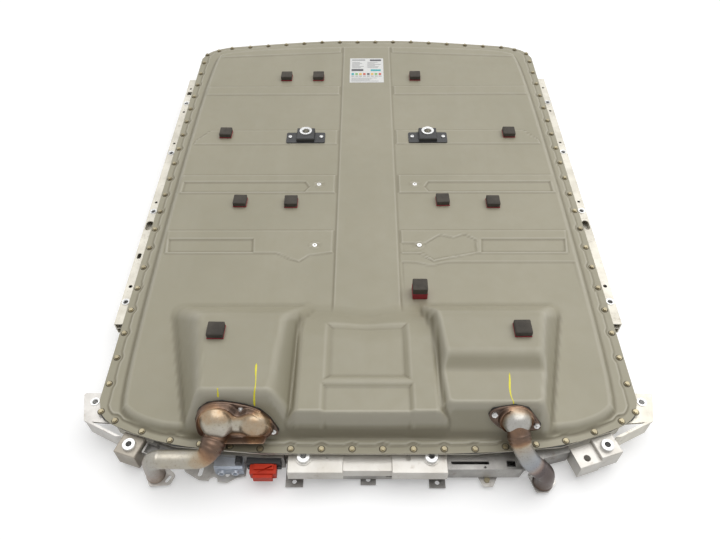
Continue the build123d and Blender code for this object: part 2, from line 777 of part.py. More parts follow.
def tube(points, radius, wall, bend=34.0):
    """Bent tube through the points with a constant wall."""
    if len(points) > 2:
        path = FilletPolyline(*points, radius=bend)
    else:
        path = Line(*points)
    plane = Plane(origin=path @ 0, z_dir=path % 0)
    outer = sweep(plane * Circle(radius), path=path)
    inner = sweep(plane * Circle(radius - wall), path=path)
    return outer - inner


def stadium(plane, points, radius, low, high):
    face = plan(points, radius)
    return plane.offset(low) * extrude(face, amount=high - low)


def dome(plane, x, y, sizes, cut):
    """Upper half of an ellipsoid standing on the plane."""
    ball = scale(Sphere(1), by=sizes)
    ball -= Pos(0, 0, -2 * sizes[2]) * Box(4 * sizes[0], 4 * sizes[1], 4 * sizes[2])
    return plane.offset(cut) * Pos(x, y, 0) * ball


def make_vent_hood(place, outline, nuts, domes, neck, neck_radius):
    """Pressed hood: bolted flange, domes over it and a short neck into the pipe."""
    base = vent_gasket
    plane = wall_plane(*place)
    flange = stadium(plane, outline, 9, base, base + vent_flange)
    outer = None
    inner = None
    for x, y, sizes in domes:
        shell = dome(plane, x, y, sizes, base)
        core = dome(plane, x, y, tuple(v - vent_sheet for v in sizes), base)
        outer = shell if outer is None else outer + shell
        inner = core if inner is None else inner + core
    joint, run = neck
    heading = (Vector(*run[0]) - Vector(*joint)).normalized()
    axis = Line(Vector(*joint) - heading * neck_length, Vector(*joint))
    end = Plane(origin=axis @ 0, z_dir=axis % 0)
    outer += sweep(end * Circle(neck_radius), path=axis)
    inner += sweep(end * Circle(neck_radius - vent_sheet), path=axis)
    keep = plane.offset(base) * Box(600, 600, 300, align=(Align.CENTER, Align.CENTER, Align.MIN))
    hood = (flange + (outer & keep)) - (inner & keep)
    for x, y in nuts:
        hood -= plane.offset(base) * Pos(x, y, 0) * Cylinder(4, 20)
    return hood


def make_vent_gaskets():
    made = []
    for place, outline, nuts in vents():
        plane = wall_plane(*place)
        plate = stadium(plane, outline, 9, 0, vent_gasket)
        for x, y in nuts:
            plate -= plane * Pos(x, y, 0) * Cylinder(4, 20)
        made.append(plate)
    return group(made)


def vents():
    return [
        (left_vent_place, left_vent_outline, left_vent_nuts),
        (right_vent_place, right_vent_outline, right_vent_nuts),
    ]


def make_vent_nuts():
    """Hexagon nuts with a stud end, standing on the hood flanges."""
    made = []
    seat = vent_gasket + vent_flange
    for place, outline, nuts in vents():
        plane = wall_plane(*place)
        for x, y in nuts:
            nut = extrude(RegularPolygon(8, 6), amount=7) + extrude(Circle(3.5), amount=12)
            nut += Pos(0, 0, 0) * extrude(Circle(9), amount=1.5)
            made.append(plane.offset(seat) * Pos(x, y, 0) * nut)
    return group(made)


def make_pipe(joint, run, radius):
    return tube([joint] + run, radius, vent_sheet)


def make_left_pipe_bracket():
    """Slotted foot welded under the mouth of the left pipe."""
    x, y, mouth = left_run[-1]
    outline = [(x - 28, y + 26), (x + 24, y + 26), (x + 54, y + 2), (x + 44, y - 26), (x - 10, y - 30)]
    foot = slab(plan(outline, 8), mouth - 5, mouth)
    foot -= Pos(x, y, mouth) * Cylinder(left_pipe_radius - vent_sheet, 20)
    return foot - Pos(x + 37, y - 10, mouth) * extrude(SlotOverall(22, 9, rotation=60), 10, both=True)


def make_right_pipe_bracket():
    x, y, mouth = right_run[-1]
    outline = [(x - 36, y + 26), (x + 32, y + 26), (x + 36, y), (x + 12, rear_limit), (x - 20, rear_limit)]
    foot = slab(plan(outline, 6), mouth - 5, mouth)
    return foot - Pos(x, y, mouth) * Cylinder(right_pipe_radius - vent_sheet, 20)


def all_parts():
    made = {
        "top_cover": make_cover(),
        "cover_gasket": make_gasket(),
        "cover_bolts": make_bolts(),
        "tray_frame": make_tray(),
        "floor_plate": make_floor(),
        "cooling_plates": make_cooling_plates(),
        "coolant_pipes": make_coolant_pipes(),
        "busbars": make_busbars(),
        "upper_shelf": make_shelf(),
        "upper_module_left": make_upper_module(-415, -240, 130),
        "upper_module_right": make_upper_module(230, 415, 100),
        "control_unit": make_box_with_lid(-95, 95, -850, -712, 60, 3),
        "junction_box": make_box_with_lid(-80, 80, -700, -600, 44, 2),
        "port_plate": make_port_plate(),
        "port_casting": make_port_casting(),
        "signal_connector": make_signal_connector(),
        "connector_base": make_connector_base(),
        "power_connector": make_connector(),
        "left_rear_sill": make_left_sill(),
        "left_block_bracket": make_block_bracket(),
        "right_rear_beam": make_right_beam(),
        "beam_tab": make_tow_tab(),
        "beam_tab_bolt": make_tow_bolt(),
        "rail_bushes": make_rail_bushes(),
        "centre_block": make_centre_block(),
        "centre_bracket": make_centre_bracket(),
        "lift_sleeves": make_lift_sleeves(),
        "bracket_screws": make_bracket_screws(),
        "deck_screws": make_deck_screws(),
        "pad_tapes": make_pads(0, (tape_height, tape_height), pad_size),
        "foam_pads": make_pads(tape_height, (pad_height, tall_pad_height), pad_size),
        "vent_gaskets": make_vent_gaskets(),
        "vent_nuts": make_vent_nuts(),
    }
    bottom = floor_thickness + cooling_plate_thickness
    for index, (front, rear, outer) in enumerate(bay_limits(), 1):
        left = make_module(-outer, -module_inner_x, front, rear, bottom, module_height)
        right = make_module(module_inner_x, outer, front, rear, bottom, module_height)
        made[f"cell_modules_{index}"] = group([left, right])
    for index, y in enumerate(cross_members, 1):
        made[f"cross_member_{index}"] = make_cross_member(y)
    for word, side in (("left", -1), ("right", 1)):
        made[f"{word}_side_rail"] = make_rail(side)
        made[f"{word}_corner_bracket"] = make_corner_bracket(side)
        made[f"{word}_mount_block"] = make_angled_block(side)
        made[f"{word}_lift_bracket"] = make_lift_bracket(side)
    rings = [make_ring(*block_ring_place(side), block_top - block_height, block_top) for side in (-1, 1)]
    ring_seat = centre_top + 2
    centre_floor = centre_top - centre_height
    rings += [make_ring(side * centre_ring_x, centre_ring_y, centre_floor, ring_seat) for side in (-1, 1)]
    made["block_rings"] = group(rings)
    made["corner_bushes"] = group(
        make_bush(side * ear_bush_x, ear_bush_y, rail_top - 30, rail_top + bush_stand) for side in (-1, 1)
    )
    left_domes = [(-46, 10, (38, 48, 50)), (36, 0, (33, 40, 42))]
    made["left_vent_hood"] = make_vent_hood(
        left_vent_place, left_vent_outline, left_vent_nuts, left_domes, (left_joint, left_run), left_pipe_radius
    )
    right_domes = [(-2, 6, (40, 40, 44))]
    neck = (right_joint, right_run)
    made["right_vent_hood"] = make_vent_hood(
        right_vent_place, right_vent_outline, right_vent_nuts, right_domes, neck, right_pipe_radius
    )
    made["left_vent_pipe"] = make_pipe(left_joint, left_run, left_pipe_radius)
    made["right_vent_pipe"] = make_pipe(right_joint, right_run, right_pipe_radius)
    made["pipe_brackets"] = group([make_left_pipe_bracket(), make_right_pipe_bracket()])
    return made


if __name__ == "__main__":
    os.makedirs("parts", exist_ok=True)
    for name, shape in all_parts().items():
        export_step(shape, f"parts/{name}.step")
        print(name, round(shape.volume))
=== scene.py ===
import bpy
import math
import numpy as np
from mathutils import Matrix, Vector


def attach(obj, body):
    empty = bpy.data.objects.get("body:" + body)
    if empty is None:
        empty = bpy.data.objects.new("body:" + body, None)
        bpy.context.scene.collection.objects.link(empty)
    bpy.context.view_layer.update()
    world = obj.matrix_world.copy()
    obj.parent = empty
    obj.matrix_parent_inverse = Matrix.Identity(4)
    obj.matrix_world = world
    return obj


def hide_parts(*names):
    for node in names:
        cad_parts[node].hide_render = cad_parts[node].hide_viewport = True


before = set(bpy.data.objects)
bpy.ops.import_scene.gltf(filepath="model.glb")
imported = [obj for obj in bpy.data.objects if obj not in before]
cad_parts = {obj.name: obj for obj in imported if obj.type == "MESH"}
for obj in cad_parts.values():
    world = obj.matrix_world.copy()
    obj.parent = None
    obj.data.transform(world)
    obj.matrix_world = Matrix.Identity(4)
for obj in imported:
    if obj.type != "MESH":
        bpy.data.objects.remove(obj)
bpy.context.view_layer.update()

mm = 0.001  # the shapes are worked out in millimetres and scaled when their mesh is made
farOff = 1e12


def softMin(a, b, k):
    # the smaller of two heights, with the corner between them rounded over the width k
    h = np.clip(0.5 + 0.5 * (b - a) / k, 0, 1)
    return b + (a - b) * h - k * h * (1 - h)


def softMax(a, b, k):
    # the larger of two heights, rounded in the same way
    return -softMin(-a, -b, k)


def smooth(t):
    # an even S from 0 to 1: three t squared less two t cubed
    t = np.clip(t, 0, 1)
    return t * t * (3 - 2 * t)


def hill(t):
    # a bell of height 1: e to the power of minus t squared
    return np.exp(-t ** 2)


def insideDistance(x, y, corners):
    # distance to the nearest edge of a closed outline, positive inside it
    pts = np.array(corners, float)
    best = np.full(x.shape, farOff)
    inside = np.zeros(x.shape, bool)
    for (ax, ay), (bx, by) in zip(pts, np.roll(pts, -1, axis=0)):
        ex, ey = bx - ax, by - ay
        t = np.clip(((x - ax) * ex + (y - ay) * ey) / (ex * ex + ey * ey), 0, 1)
        best = np.minimum(best, (x - ax - t * ex) ** 2 + (y - ay - t * ey) ** 2)
        crosses = (ay > y) != (by > y)
        with np.errstate(divide="ignore", invalid="ignore"):
            inside ^= crosses & (x < ex * (y - ay) / (ey if ey else 1e-9) + ax)
    return np.where(inside, 1, -1) * np.sqrt(best)


def cutCorners(points, rounds=3, closed=True):
    # Chaikin rounding: each corner is replaced by points a quarter of the way along its two edges
    pts = np.array(points, float)
    wide = pts.shape[1]
    for _ in range(rounds):
        cur, nxt = (pts, np.roll(pts, -1, axis=0)) if closed else (pts[:-1], pts[1:])
        body = np.stack([cur * 0.75 + nxt * 0.25, cur * 0.25 + nxt * 0.75], 1).reshape(-1, wide)
        pts = body if closed else np.vstack([pts[:1], body, pts[-1:]])
    return pts


def bothSides(half):
    # the half outline at positive X, then its mirror image in reverse
    return half + [(-x, y) for x, y in reversed(half)]


def makeMesh(name, verts, faces, smoothShade=True):
    # an object at the origin with its place in its mesh
    mesh = bpy.data.meshes.new(name)
    mesh.from_pydata(verts.tolist(), [], faces)
    mesh.update()
    if smoothShade:
        mesh.shade_smooth()
    obj = bpy.data.objects.new(name, mesh)
    bpy.context.scene.collection.objects.link(obj)
    return obj


def gridFaces(rows, cols, base=0, wrap=False):
    # quads of a rows x cols grid, counter-clockwise from above when columns run +X and rows run +Y
    r, c = np.meshgrid(np.arange(rows - 1), np.arange(cols if wrap else cols - 1), indexing="ij")
    a = base + r * cols + c
    b = base + r * cols + (c + 1) % cols
    return np.stack([a, b, b + cols, a + cols], -1).reshape(-1, 4)


def fan(a, b, middle):
    # triangles from a ring of edges to one point
    return [[int(p), int(q), middle] for p, q in zip(a, b)]


def addShare(mesh, name, values):
    # one number for each point, which a material reads by its name
    att = mesh.attributes.new(name, "FLOAT", "POINT")
    att.data.foreach_set("value", np.asarray(values, np.float32))


def denseSteps(start, stop, coarse, marks, fine, reach):
    # positions from start to stop: fine steps within reach of a mark, wider ones further off, up to coarse
    out = [start]
    while out[-1] < stop:
        gap = min([abs(out[-1] - m) for m in marks] + [farOff])
        step = fine if gap < reach else min(coarse, fine + (gap - reach) * 0.35)
        out.append(out[-1] + step)
    out = np.array(out)
    return start + (out - start) * (stop - start) / (out[-1] - start)


# the pressed top cover; rises are measured from the flange, which lies at rimTop
cover = {
    "rimTop": 104.0,
    "halfWidth": 720.0,
    "frontEdge": 1030.0,
    "rearEdge": -967.0,
    "landRise": 4.0,
    "landInset": 22.0,
    "landBlend": 8,
    "padRadius": 17.0,
    "deckRise": 25.0,
    "deckBlend": 9,
    "stepRun": 19.0,
    "stripHalf": 100.0,
    "stripRise": 3.4,
    "stripEnd": 936,
    "housingFoot": 15,
}
frontPanel = {"y": 884, "innerX": 116, "slope": 0.068, "from": 108, "to": 645, "rise": 3.0}
rearFall = {"y": -338, "dip": 12, "dipX": 200, "dipWidth": 34, "from": 106, "end": -500, "run": 120,
            "depth": 2.4}
screwPad = {"radius": 19, "rise": 1.4, "dishRadius": 12, "dish": 1.0}
deckScrews = [(x, y) for x in (-167, 167) for y in (24, -268)]
# soft dents of the drawn sheet: x, y, radius, depth
dents = [(-430, -650, 26, 2.2), (-300, -600, 34, 1.6), (455, -840, 30, 2), (-250, -830, 30, 2),
         (160, -560, 40, 1.5), (-480, -560, 40, 2)]

fe, re = cover["frontEdge"], cover["rearEdge"]
rimHalf = [(200, fe), (600, fe - 49), (648, fe - 64), (697, fe - 92), (720, fe - 145),
           (720, re + 152), (700, re + 97), (631, re + 63), (494, re + 19), (269, re)]
deckHalf = [(200, fe - 90), (600, fe - 122), (658, fe - 180), (658, re + 150), (610, re + 92), (470, re + 56)]
rimOutline = cutCorners(bothSides(rimHalf), 2)
deckOutline = cutCorners(bothSides(deckHalf), 3)
frontLine = cutCorners([(0, fe)] + rimHalf[:5], 2, closed=False)
rearLine = cutCorners([(0, re)] + list(reversed(rimHalf[5:])), 2, closed=False)

boltRows = {
    "sideX": 706.5, "firstY": 851.0, "sidePitch": 85.0, "sideCount": 21,
    "frontPitch": 80.0, "frontCount": 8, "rearPitch": 78.0, "rearCount": 9, "inset": 12,
    "shoulder": [(656, fe - 82), (702.5, fe - 115)],
}


def boltCentres():
    # two straight rows at one pitch, and bolts that follow the rounded front and rear edges
    b = boltRows
    frontX, frontY = zip(*rimHalf[:4])
    rearX, rearY = zip(*reversed(rimHalf[6:]))
    out = []
    for side in (-1, 1):
        out += [(side * b["sideX"], b["firstY"] - b["sidePitch"] * i) for i in range(b["sideCount"])]
        for i in range(b["frontCount"]):
            x = b["frontPitch"] * (i + 0.5)
            out.append((side * x, np.interp(x, frontX, frontY) - b["inset"]))
        out += [(side * x, y) for x, y in b["shoulder"]]
        for i in range(b["rearCount"]):
            x = b["rearPitch"] * (i + 0.5)
            out.append((side * x, np.interp(x, rearX, rearY) + b["inset"]))
    return out


bolts = boltCentres()


def mirrorBands(bands):
    # each band and its mirror image
    return [([(side * x, y) for x, y in corners], rise, edge)
            for corners, rise, edge in bands for side in (-1, 1)]


# pressed bands of the deck: outline, rise above the deck and width of the edge
pressedBands = mirrorBands([
    ([(111, 629), (652, 629), (658, 571), (111, 571)], 2.8, 7),
    ([(111, 334), (592, 334), (640, 272), (644, 251), (111, 251)], 2.4, 6),
    ([(111, 75), (656, 75), (652, -18), (111, -18)], 2.8, 6),
    ([(214, 38), (640, 38), (640, -12), (214, -12), (200, 12)], -3.4, 7),
])
pressedBands += [
    ([(-110, -200), (-652, -200), (-642, -301), (-285, -301), (-244, -326), (-213, -337), (-183, -311),
      (-110, -298)], 2.6, 6),
    ([(110, -200), (647, -200), (634, -302), (343, -302), (262, -322), (209, -337), (168, -302), (110, -302)],
     2.6, 6),
    ([(-367, -240), (-640, -240), (-632, -296), (-362, -296)], -3.6, 7),
    ([(368, -241), (636, -241), (628, -297), (362, -297)], -3.6, 7),
    ([(111, -258), (188, -258), (235, -221), (279, -234), (316, -218), (352, -244), (346, -297), (262, -316),
      (209, -330), (170, -297), (111, -297)], -2.6, 6),
]

# the raised rear: two tapered housings, the right one with a step, and the lower middle between them
housings = {
    "leftFoot": [(-600, -490), (-475, -927), (-150, -927), (-150, -490)],
    "leftRoof": [(-460, -632), (-420, -876), (-235, -876), (-216, -632)],
    "rightFoot": [(150, -490), (150, -927), (476, -927), (585, -490)],
    "rightRoof": [(190, -625), (214, -876), (425, -876), (479, -625)],
    "rise": 150.0,
    "blend": 32,
    "footBlend": 42,
    "lowRise": 116.0,
    "stepY": -798,
    "stepRun": 56,
    "stepBlend": 16,
}
middle = {
    "rise": 105.0, "frontY": -490, "frontRun": 150, "frontBlend": 34, "dip": 12, "dipWidth": 60,
    "backY": -927, "backRun": 19, "backBlend": 30, "endX": 262, "endRun": 90, "below": 80,
    "recess": {"half": 104, "to": -632, "from": -806, "depth": 9, "edge": 22},
    "shelf": {"half": 112, "to": -829, "from": -930, "depth": 6, "edge": 16},
}


def housing(x, y, foot, roof):
    # each side climbs from its foot line to its roof line, and the lowest of all four sides and the top wins
    top = np.full(x.shape, housings["rise"])
    for i in range(4):
        a, b = np.array(foot[i], float), np.array(foot[(i + 1) % 4], float)
        c, d = np.array(roof[i], float), np.array(roof[(i + 1) % 4], float)
        nf = np.array([-(b - a)[1], (b - a)[0]]) / np.hypot(*(b - a))
        nr = np.array([-(d - c)[1], (d - c)[0]]) / np.hypot(*(d - c))
        away = (x - a[0]) * nf[0] + (y - a[1]) * nf[1]
        togo = -((x - c[0]) * nr[0] + (y - c[1]) * nr[1])
        total = away + togo
        climb = away / np.where(total > 1, total, 1)
        blend = housings["blend"] + housings["footBlend"] * (1 - np.clip(climb, 0, 1))
        top = softMin(top, housings["rise"] * climb, blend)
    return top


def sunkField(ax, y, f):
    # depth of a field about the middle line: a smooth step of the distance inside its rectangle
    inside = np.minimum(np.minimum(f["half"] - ax, f["to"] - y), y - f["from"])
    return f["depth"] * smooth(inside / f["edge"] + 0.5)


def raisedRear(x, y):
    # the two housings and the middle, blended by the soft larger of their heights
    h, m = housings, middle
    ax = np.abs(x)
    left = housing(x, y, h["leftFoot"], h["leftRoof"])
    right = housing(x, y, h["rightFoot"], h["rightRoof"])
    lowRoof = h["lowRise"] + (h["rise"] - h["lowRise"]) * smooth((y - h["stepY"]) / h["stepRun"])
    right = softMin(right, lowRoof, h["stepBlend"])
    front = (m["frontY"] - y) / m["frontRun"] * m["rise"] - m["dip"] * hill(x / m["dipWidth"])
    back = (y - m["backY"]) / m["backRun"] * m["rise"]
    z = softMin(softMin(np.full(x.shape, m["rise"]), front, m["frontBlend"]), back, m["backBlend"])
    share = smooth((m["endX"] - ax) / m["endRun"])  # the middle ends inside the housings
    z = z * share - m["below"] * (1 - share)
    z = z - sunkField(ax, y, m["recess"]) - sunkField(ax, y, m["shelf"])
    return softMax(z, softMax(left, right, 4), 26)


def deckRelief(x, y, deckIn):
    # what is pressed into the deck: centre strip, front panel, bands, rear fall and screw pads, added up
    c, p, f, s = cover, frontPanel, rearFall, screwPad
    ax = np.abs(x)
    ramp = (deckIn + c["stepRun"]) / c["stepRun"] * c["deckRise"]
    deck = softMin(np.full(x.shape, c["deckRise"]), ramp, c["deckBlend"])
    strip = c["stripRise"] * smooth((c["stripHalf"] + 3 - ax) / 6) * smooth((c["stripEnd"] - y) / 8)
    deck = deck + strip * (deckIn > 0)
    panelLine = p["y"] - (ax - p["innerX"]) * p["slope"]
    inPanels = smooth((ax - p["from"]) / 6) * smooth((p["to"] - ax) / 12)
    ahead = smooth((y - panelLine) / 7) * inPanels
    deck = deck + p["rise"] * ahead * smooth(deckIn / 20)
    fade = smooth(deckIn / 14)
    for corners, rise, edge in pressedBands:
        deck = deck + rise * smooth(0.5 + insideDistance(x, y, corners) / edge) * fade
    fallLine = f["y"] - f["dip"] * hill((x - f["dipX"]) / f["dipWidth"])
    below = smooth(0.5 + (fallLine - y) / 6) * smooth((y - f["end"]) / f["run"]) * smooth((x - f["from"]) / 6)
    deck = deck - f["depth"] * below * fade
    for sx, sy in deckScrews:
        around = np.hypot(x - sx, y - sy)
        pad = s["rise"] * smooth((s["radius"] - around) / 5)
        deck = deck + pad - s["dish"] * smooth((s["dishRadius"] - around) / 3)
    return deck


def coverHeight(x, y):
    # height of the sheet: scalloped land, deck and raised rear, each the soft larger of it and the one before
    c = cover
    near = np.full(x.shape, farOff)
    for bx, by in bolts:
        near = np.minimum(near, (x - bx) ** 2 + (y - by) ** 2)
    rim = insideDistance(x, y, rimOutline)
    scallop = softMin(rim - c["landInset"], np.sqrt(near) - c["padRadius"], c["landBlend"])
    land = c["landRise"] * smooth(0.5 + scallop / 5)
    z = softMax(land, deckRelief(x, y, insideDistance(x, y, deckOutline)), 7)
    z = softMax(z, raisedRear(x, y), c["housingFoot"])
    for cx, cy, r, d in dents:
        z = z - d * np.exp(-((x - cx) ** 2 + (y - cy) ** 2) / (r * r))
    return z + c["rimTop"]


def surfaceZ(x, y):
    # height of the sheet at one point
    return float(coverHeight(np.array([float(x)]), np.array([float(y)]))[0])


coverMesh = {
    "columnMarks": [102, 110, 207, 364, 640],
    "rowMarks": [629, 571, 334, 251, 75, 38, -12, -18, -200, -240, -258, -299, -338, 850],
    "edgeFrom": 640,
    "edgeColumns": 30,
    "houseFront": -470,
    "houseRear": -860,
    "frontBend": 850,
    "rearBend": -800,
    "skin": 1.9,
    "rimReturn": 30,
    "normalStep": 1.2,
    "markStep": 6.0,
    "markDepth": 1.3,
}


def coverGrid():
    # columns share X across the width; rows keep Y in the middle and bend to the end edges
    m = coverMesh
    wide = cover["halfWidth"]
    xs = denseSteps(0, wide, 10.0, m["columnMarks"], 2.6, 6)
    xs = np.append(xs[xs < m["edgeFrom"]], np.linspace(m["edgeFrom"], wide, m["edgeColumns"]))
    xs = np.concatenate([-xs[:0:-1], xs])
    rows = np.concatenate([
        np.linspace(re, m["houseRear"], 38)[:-1],
        np.linspace(m["houseRear"], m["houseFront"], 80)[:-1],
        denseSteps(m["houseFront"], m["frontBend"], 12.0, m["rowMarks"], 2.1, 4.5)[:-1],
        np.linspace(m["frontBend"], fe, 44),
    ])
    front = np.interp(np.abs(xs), frontLine[:, 0], frontLine[:, 1])[None, :]
    rear = np.interp(np.abs(xs), rearLine[:, 0], rearLine[:, 1])[None, :]
    x, r = np.meshgrid(xs, rows)
    bend, turn = m["frontBend"], m["rearBend"]
    y = np.where(r > bend, bend + (r - bend) / (fe - bend) * (front - bend), r)
    y = np.where(r < turn, turn + (r - turn) / (turn - re) * (turn - rear), y)
    return x, y


def coverNormals(x, y):
    # square to the two slopes of the height, taken over a short step either way
    e = coverMesh["normalStep"]
    zx = (coverHeight(x + e, y) - coverHeight(x - e, y)) / (2 * e)
    zy = (coverHeight(x, y + e) - coverHeight(x, y - e)) / (2 * e)
    n = np.stack([-zx, -zy, np.ones_like(zx)], -1)
    return (n / np.linalg.norm(n, axis=-1, keepdims=True)).reshape(-1, 3)


def rimLoops(ring):
    # the border goes down round the edge by the skin, then back under the flange
    inward = -ring.copy()
    inward[:, 2] = 0
    inward[:, 1] = np.where(np.abs(ring[:, 1]) < 800, 0, np.sign(-ring[:, 1]) * 400)
    inward /= np.linalg.norm(inward, axis=1, keepdims=True)
    down = [0, 0, -coverMesh["skin"]]
    return [ring + down, ring + inward * coverMesh["rimReturn"] + down]


def buildCover():
    # the height over the grid, with a rolled rim, exact normals, and shares for painted shade in hollows and
    # painted highlight on ridges
    x, y = coverGrid()
    z = coverHeight(x, y)
    rows, cols = x.shape
    top = np.stack([x, y, z], -1).reshape(-1, 3)
    idx = np.arange(rows * cols).reshape(rows, cols)
    border = np.concatenate([idx[0, :-1], idx[:-1, -1], idx[-1, :0:-1], idx[:0:-1, 0]])
    verts = np.vstack([top] + rimLoops(top[border]))
    base, count = len(top), len(border)
    i = np.arange(count)
    j = (i + 1) % count
    first = np.stack([border[i], base + i, base + j, border[j]], -1)
    second = np.stack([base + i, base + count + i, base + count + j, base + j], -1)
    obj = makeMesh("coverSheet", verts * mm, np.vstack([gridFaces(rows, cols), first, second]).tolist())
    mesh = obj.data
    flat = np.empty(len(verts) * 3, np.float32)
    mesh.vertices.foreach_get("normal", flat)
    normals = flat.reshape(-1, 3).astype(float)
    normals[:base] = coverNormals(x, y)
    mesh.normals_split_custom_set_from_vertices(normals.tolist())
    # a hollow lies below the mean height a step away on four sides, for painted shade; a ridge lies above it,
    # for a painted highlight
    e = coverMesh["markStep"]
    beside = coverHeight(x + e, y) + coverHeight(x - e, y)
    around = (beside + coverHeight(x, y + e) + coverHeight(x, y - e)) / 4
    for name, gap in (("creaseShade", around - z), ("ridgeHighlight", z - around)):
        full = np.zeros(len(verts), np.float32)
        full[:base] = np.clip(gap / coverMesh["markDepth"], 0, 1).ravel()
        addShare(mesh, name, full)
    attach(obj, "root")
    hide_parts("top_cover")
    print("cover sheet", len(mesh.polygons), "faces")
    return obj


def weld(points, quads):
    # points closer than a hundredth of a millimetre become one
    keys = np.round(points * 100).astype(np.int64)
    _, first, back = np.unique(keys, axis=0, return_index=True, return_inverse=True)
    return points[first], np.asarray(back).reshape(-1)[quads]


def roundedBlock(centre, size, radius, turn=0.0, crown=0.0, steps=9):
    # cube grid, each point pulled to the inner box and pushed out by the radius; the top swells by the crown
    line = np.linspace(-1, 1, steps)
    a, b = np.meshgrid(line, line, indexing="ij")
    a, b = a.ravel(), b.ravel()
    one = np.ones_like(a)
    sides = [(a, b, one), (b, a, -one), (one, a, b), (-one, b, a), (b, one, a), (a, -one, b)]
    points = np.vstack([np.stack(side, -1) for side in sides])
    quads = np.vstack([gridFaces(steps, steps, k * steps * steps)[:, ::-1] for k in range(6)])
    half = np.array(size, float) / 2
    p = points * half
    inner = np.clip(p, -(half - radius), half - radius)
    away = p - inner
    length = np.linalg.norm(away, axis=1, keepdims=True)
    p = np.where(length > 0, inner + away / np.where(length > 0, length, 1) * radius, p)
    u, v, w = points.T
    p[:, 2] += crown * (1 - u * u) * (1 - v * v) * np.clip(w, 0, 1)
    c, d = math.cos(turn), math.sin(turn)
    p = p @ np.array([[c, d, 0], [-d, c, 0], [0, 0, 1]]) + np.array(centre)
    return weld(p, quads)


def joinParts(parts):
    # the parts' points one after another, with each part's faces moved on by the points before it
    faces, base = [], 0
    for v, f in parts:
        faces += (f + base).tolist() if hasattr(f, "tolist") else [[i + base for i in face] for face in f]
        base += len(v)
    return np.vstack([v for v, _ in parts]), faces


def addPiece(name, parts, mat, smoothShade=True):
    # one object from all its parts, with its material and slot
    verts, faces = joinParts(parts)
    obj = makeMesh(name, verts * mm, faces, smoothShade)
    obj.data.materials.append(mat)
    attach(obj, "root")
    return obj


pads = {
    "side": 46.0,
    "tape": 3.4,
    "foam": 16.6,
    "crown": 0.9,
    "steps": 11,
    "wander": 0.02,
    "deck": [(-331, 692), (-199, 692), (200, 692), (-530, 307), (533, 307),
             (-430, -67), (-257, -70), (257, -62), (426, -72)],
    "housing": [(-397, -699), (408, -690)],
    "tall": (157, -466, 45.0),
}


def makePads(foamMat, tapeMat):
    # tape under foam, flat at the height of the sheet under its middle; the tall pad is half tape
    rng = np.random.default_rng(7)
    foam, tape = [], []
    s, t, h, crown, steps = (pads[k] for k in ("side", "tape", "foam", "crown", "steps"))
    for x, y in pads["deck"] + pads["housing"]:
        base = surfaceZ(x, y)
        turn = float(rng.normal(0, pads["wander"]))
        tape.append(roundedBlock((x, y, base + t / 2), (s - 1, s - 1, t), 0.6, turn))
        centre = (x, y, base + t + h / 2 - 0.5)
        foam.append(roundedBlock(centre, (s - 2, s - 2, h - 1), 2.2, turn, crown, steps))
    x, y, tall = pads["tall"]
    base = surfaceZ(x, y)
    lower = tall * 0.5
    upper = tall - lower
    tape.append(roundedBlock((x, y, base + lower / 2), (s - 1, s - 1, lower), 1.6, 0.01))
    centre = (x, y, base + lower + upper / 2)
    foam.append(roundedBlock(centre, (s - 2, s - 2, upper), 2.4, -0.01, crown, steps))
    foamPiece = addPiece("foamPads", foam, foamMat)
    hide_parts("foam_pads")
    tapePiece = addPiece("tapePads", tape, tapeMat)
    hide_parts("pad_tapes")
    print("pads", len(foam))


def drape(x0, x1, y0, y1, lift, nx, ny):
    # a thin patch that follows the sheet at a small height above it
    x, y = np.meshgrid(np.linspace(x0, x1, nx), np.linspace(y0, y1, ny))
    z = coverHeight(x, y) + lift
    return np.stack([x, y, z], -1).reshape(-1, 3), gridFaces(ny, nx)


label = {
    "x": (-70.0, 71.0),
    "y": (652.0, 836.0),
    "lift": 0.35,
    "inkLift": 0.25,
    "chips": ["teal", "green", "amber", "red", "dark", "amber", "green", "red"],
}


def makeLabel(paper, inks):
    # plain fields of colour on white paper: a headline, a table of bars and one coloured row
    x0, x1 = label["x"]
    y0, y1 = label["y"]
    w, h = x1 - x0, y1 - y0
    addPiece("labelPaper", [drape(x0, x1, y0, y1, label["lift"], 8, 8)], paper, False)
    fields = {name: [] for name in inks}
    lift = label["lift"] + label["inkLift"]

    def field(ink, u0, u1, v0, v1):
        # a patch between two shares of the width and two shares of the height
        fields[ink].append(drape(x0 + u0 * w, x0 + u1 * w, y0 + v0 * h, y0 + v1 * h, lift, 3, 3))

    rng = np.random.default_rng(11)
    field("grey", 0.06, 0.46, 0.90, 0.95)
    field("dark", 0.60, 0.94, 0.88, 0.95)
    for row in range(6):
        v = 0.82 - row * 0.045
        field("grey", 0.06, 0.06 + 0.36 * rng.uniform(0.6, 1), v, v + 0.018)
        field("grey", 0.52, 0.52 + 0.42 * rng.uniform(0.5, 1), v, v + 0.018)
    field("teal", 0.62, 0.92, 0.46, 0.53)
    for i, ink in enumerate(label["chips"]):
        u = 0.05 + 0.115 * i
        field(ink, u, u + 0.075, 0.30, 0.38)
        field("grey", u, u + 0.085, 0.24, 0.27)
    for row in range(4):
        v = 0.17 - row * 0.04
        field("grey", 0.05, 0.05 + 0.88 * rng.uniform(0.55, 1), v, v + 0.015)
    field("dark", 0.05, 0.40, 0.46, 0.55)
    for ink, made in fields.items():
        addPiece("label_" + ink, made, inks[ink], False)
    print("label", sum(len(made) for made in fields.values()), "fields")


strokes = {
    "width": 5.0,
    "lift": 0.5,
    "ends": 0.3,
    "paths": [
        [(-281, -796), (-280, -821), (-277, -844), (-276, -868), (-280, -884), (-281, -892)],
        [(-369, -868), (-368, -875), (-369, -882)],
        [(363, -801), (361, -823), (357, -847), (357, -870), (361, -885), (363, -893)],
    ],
}


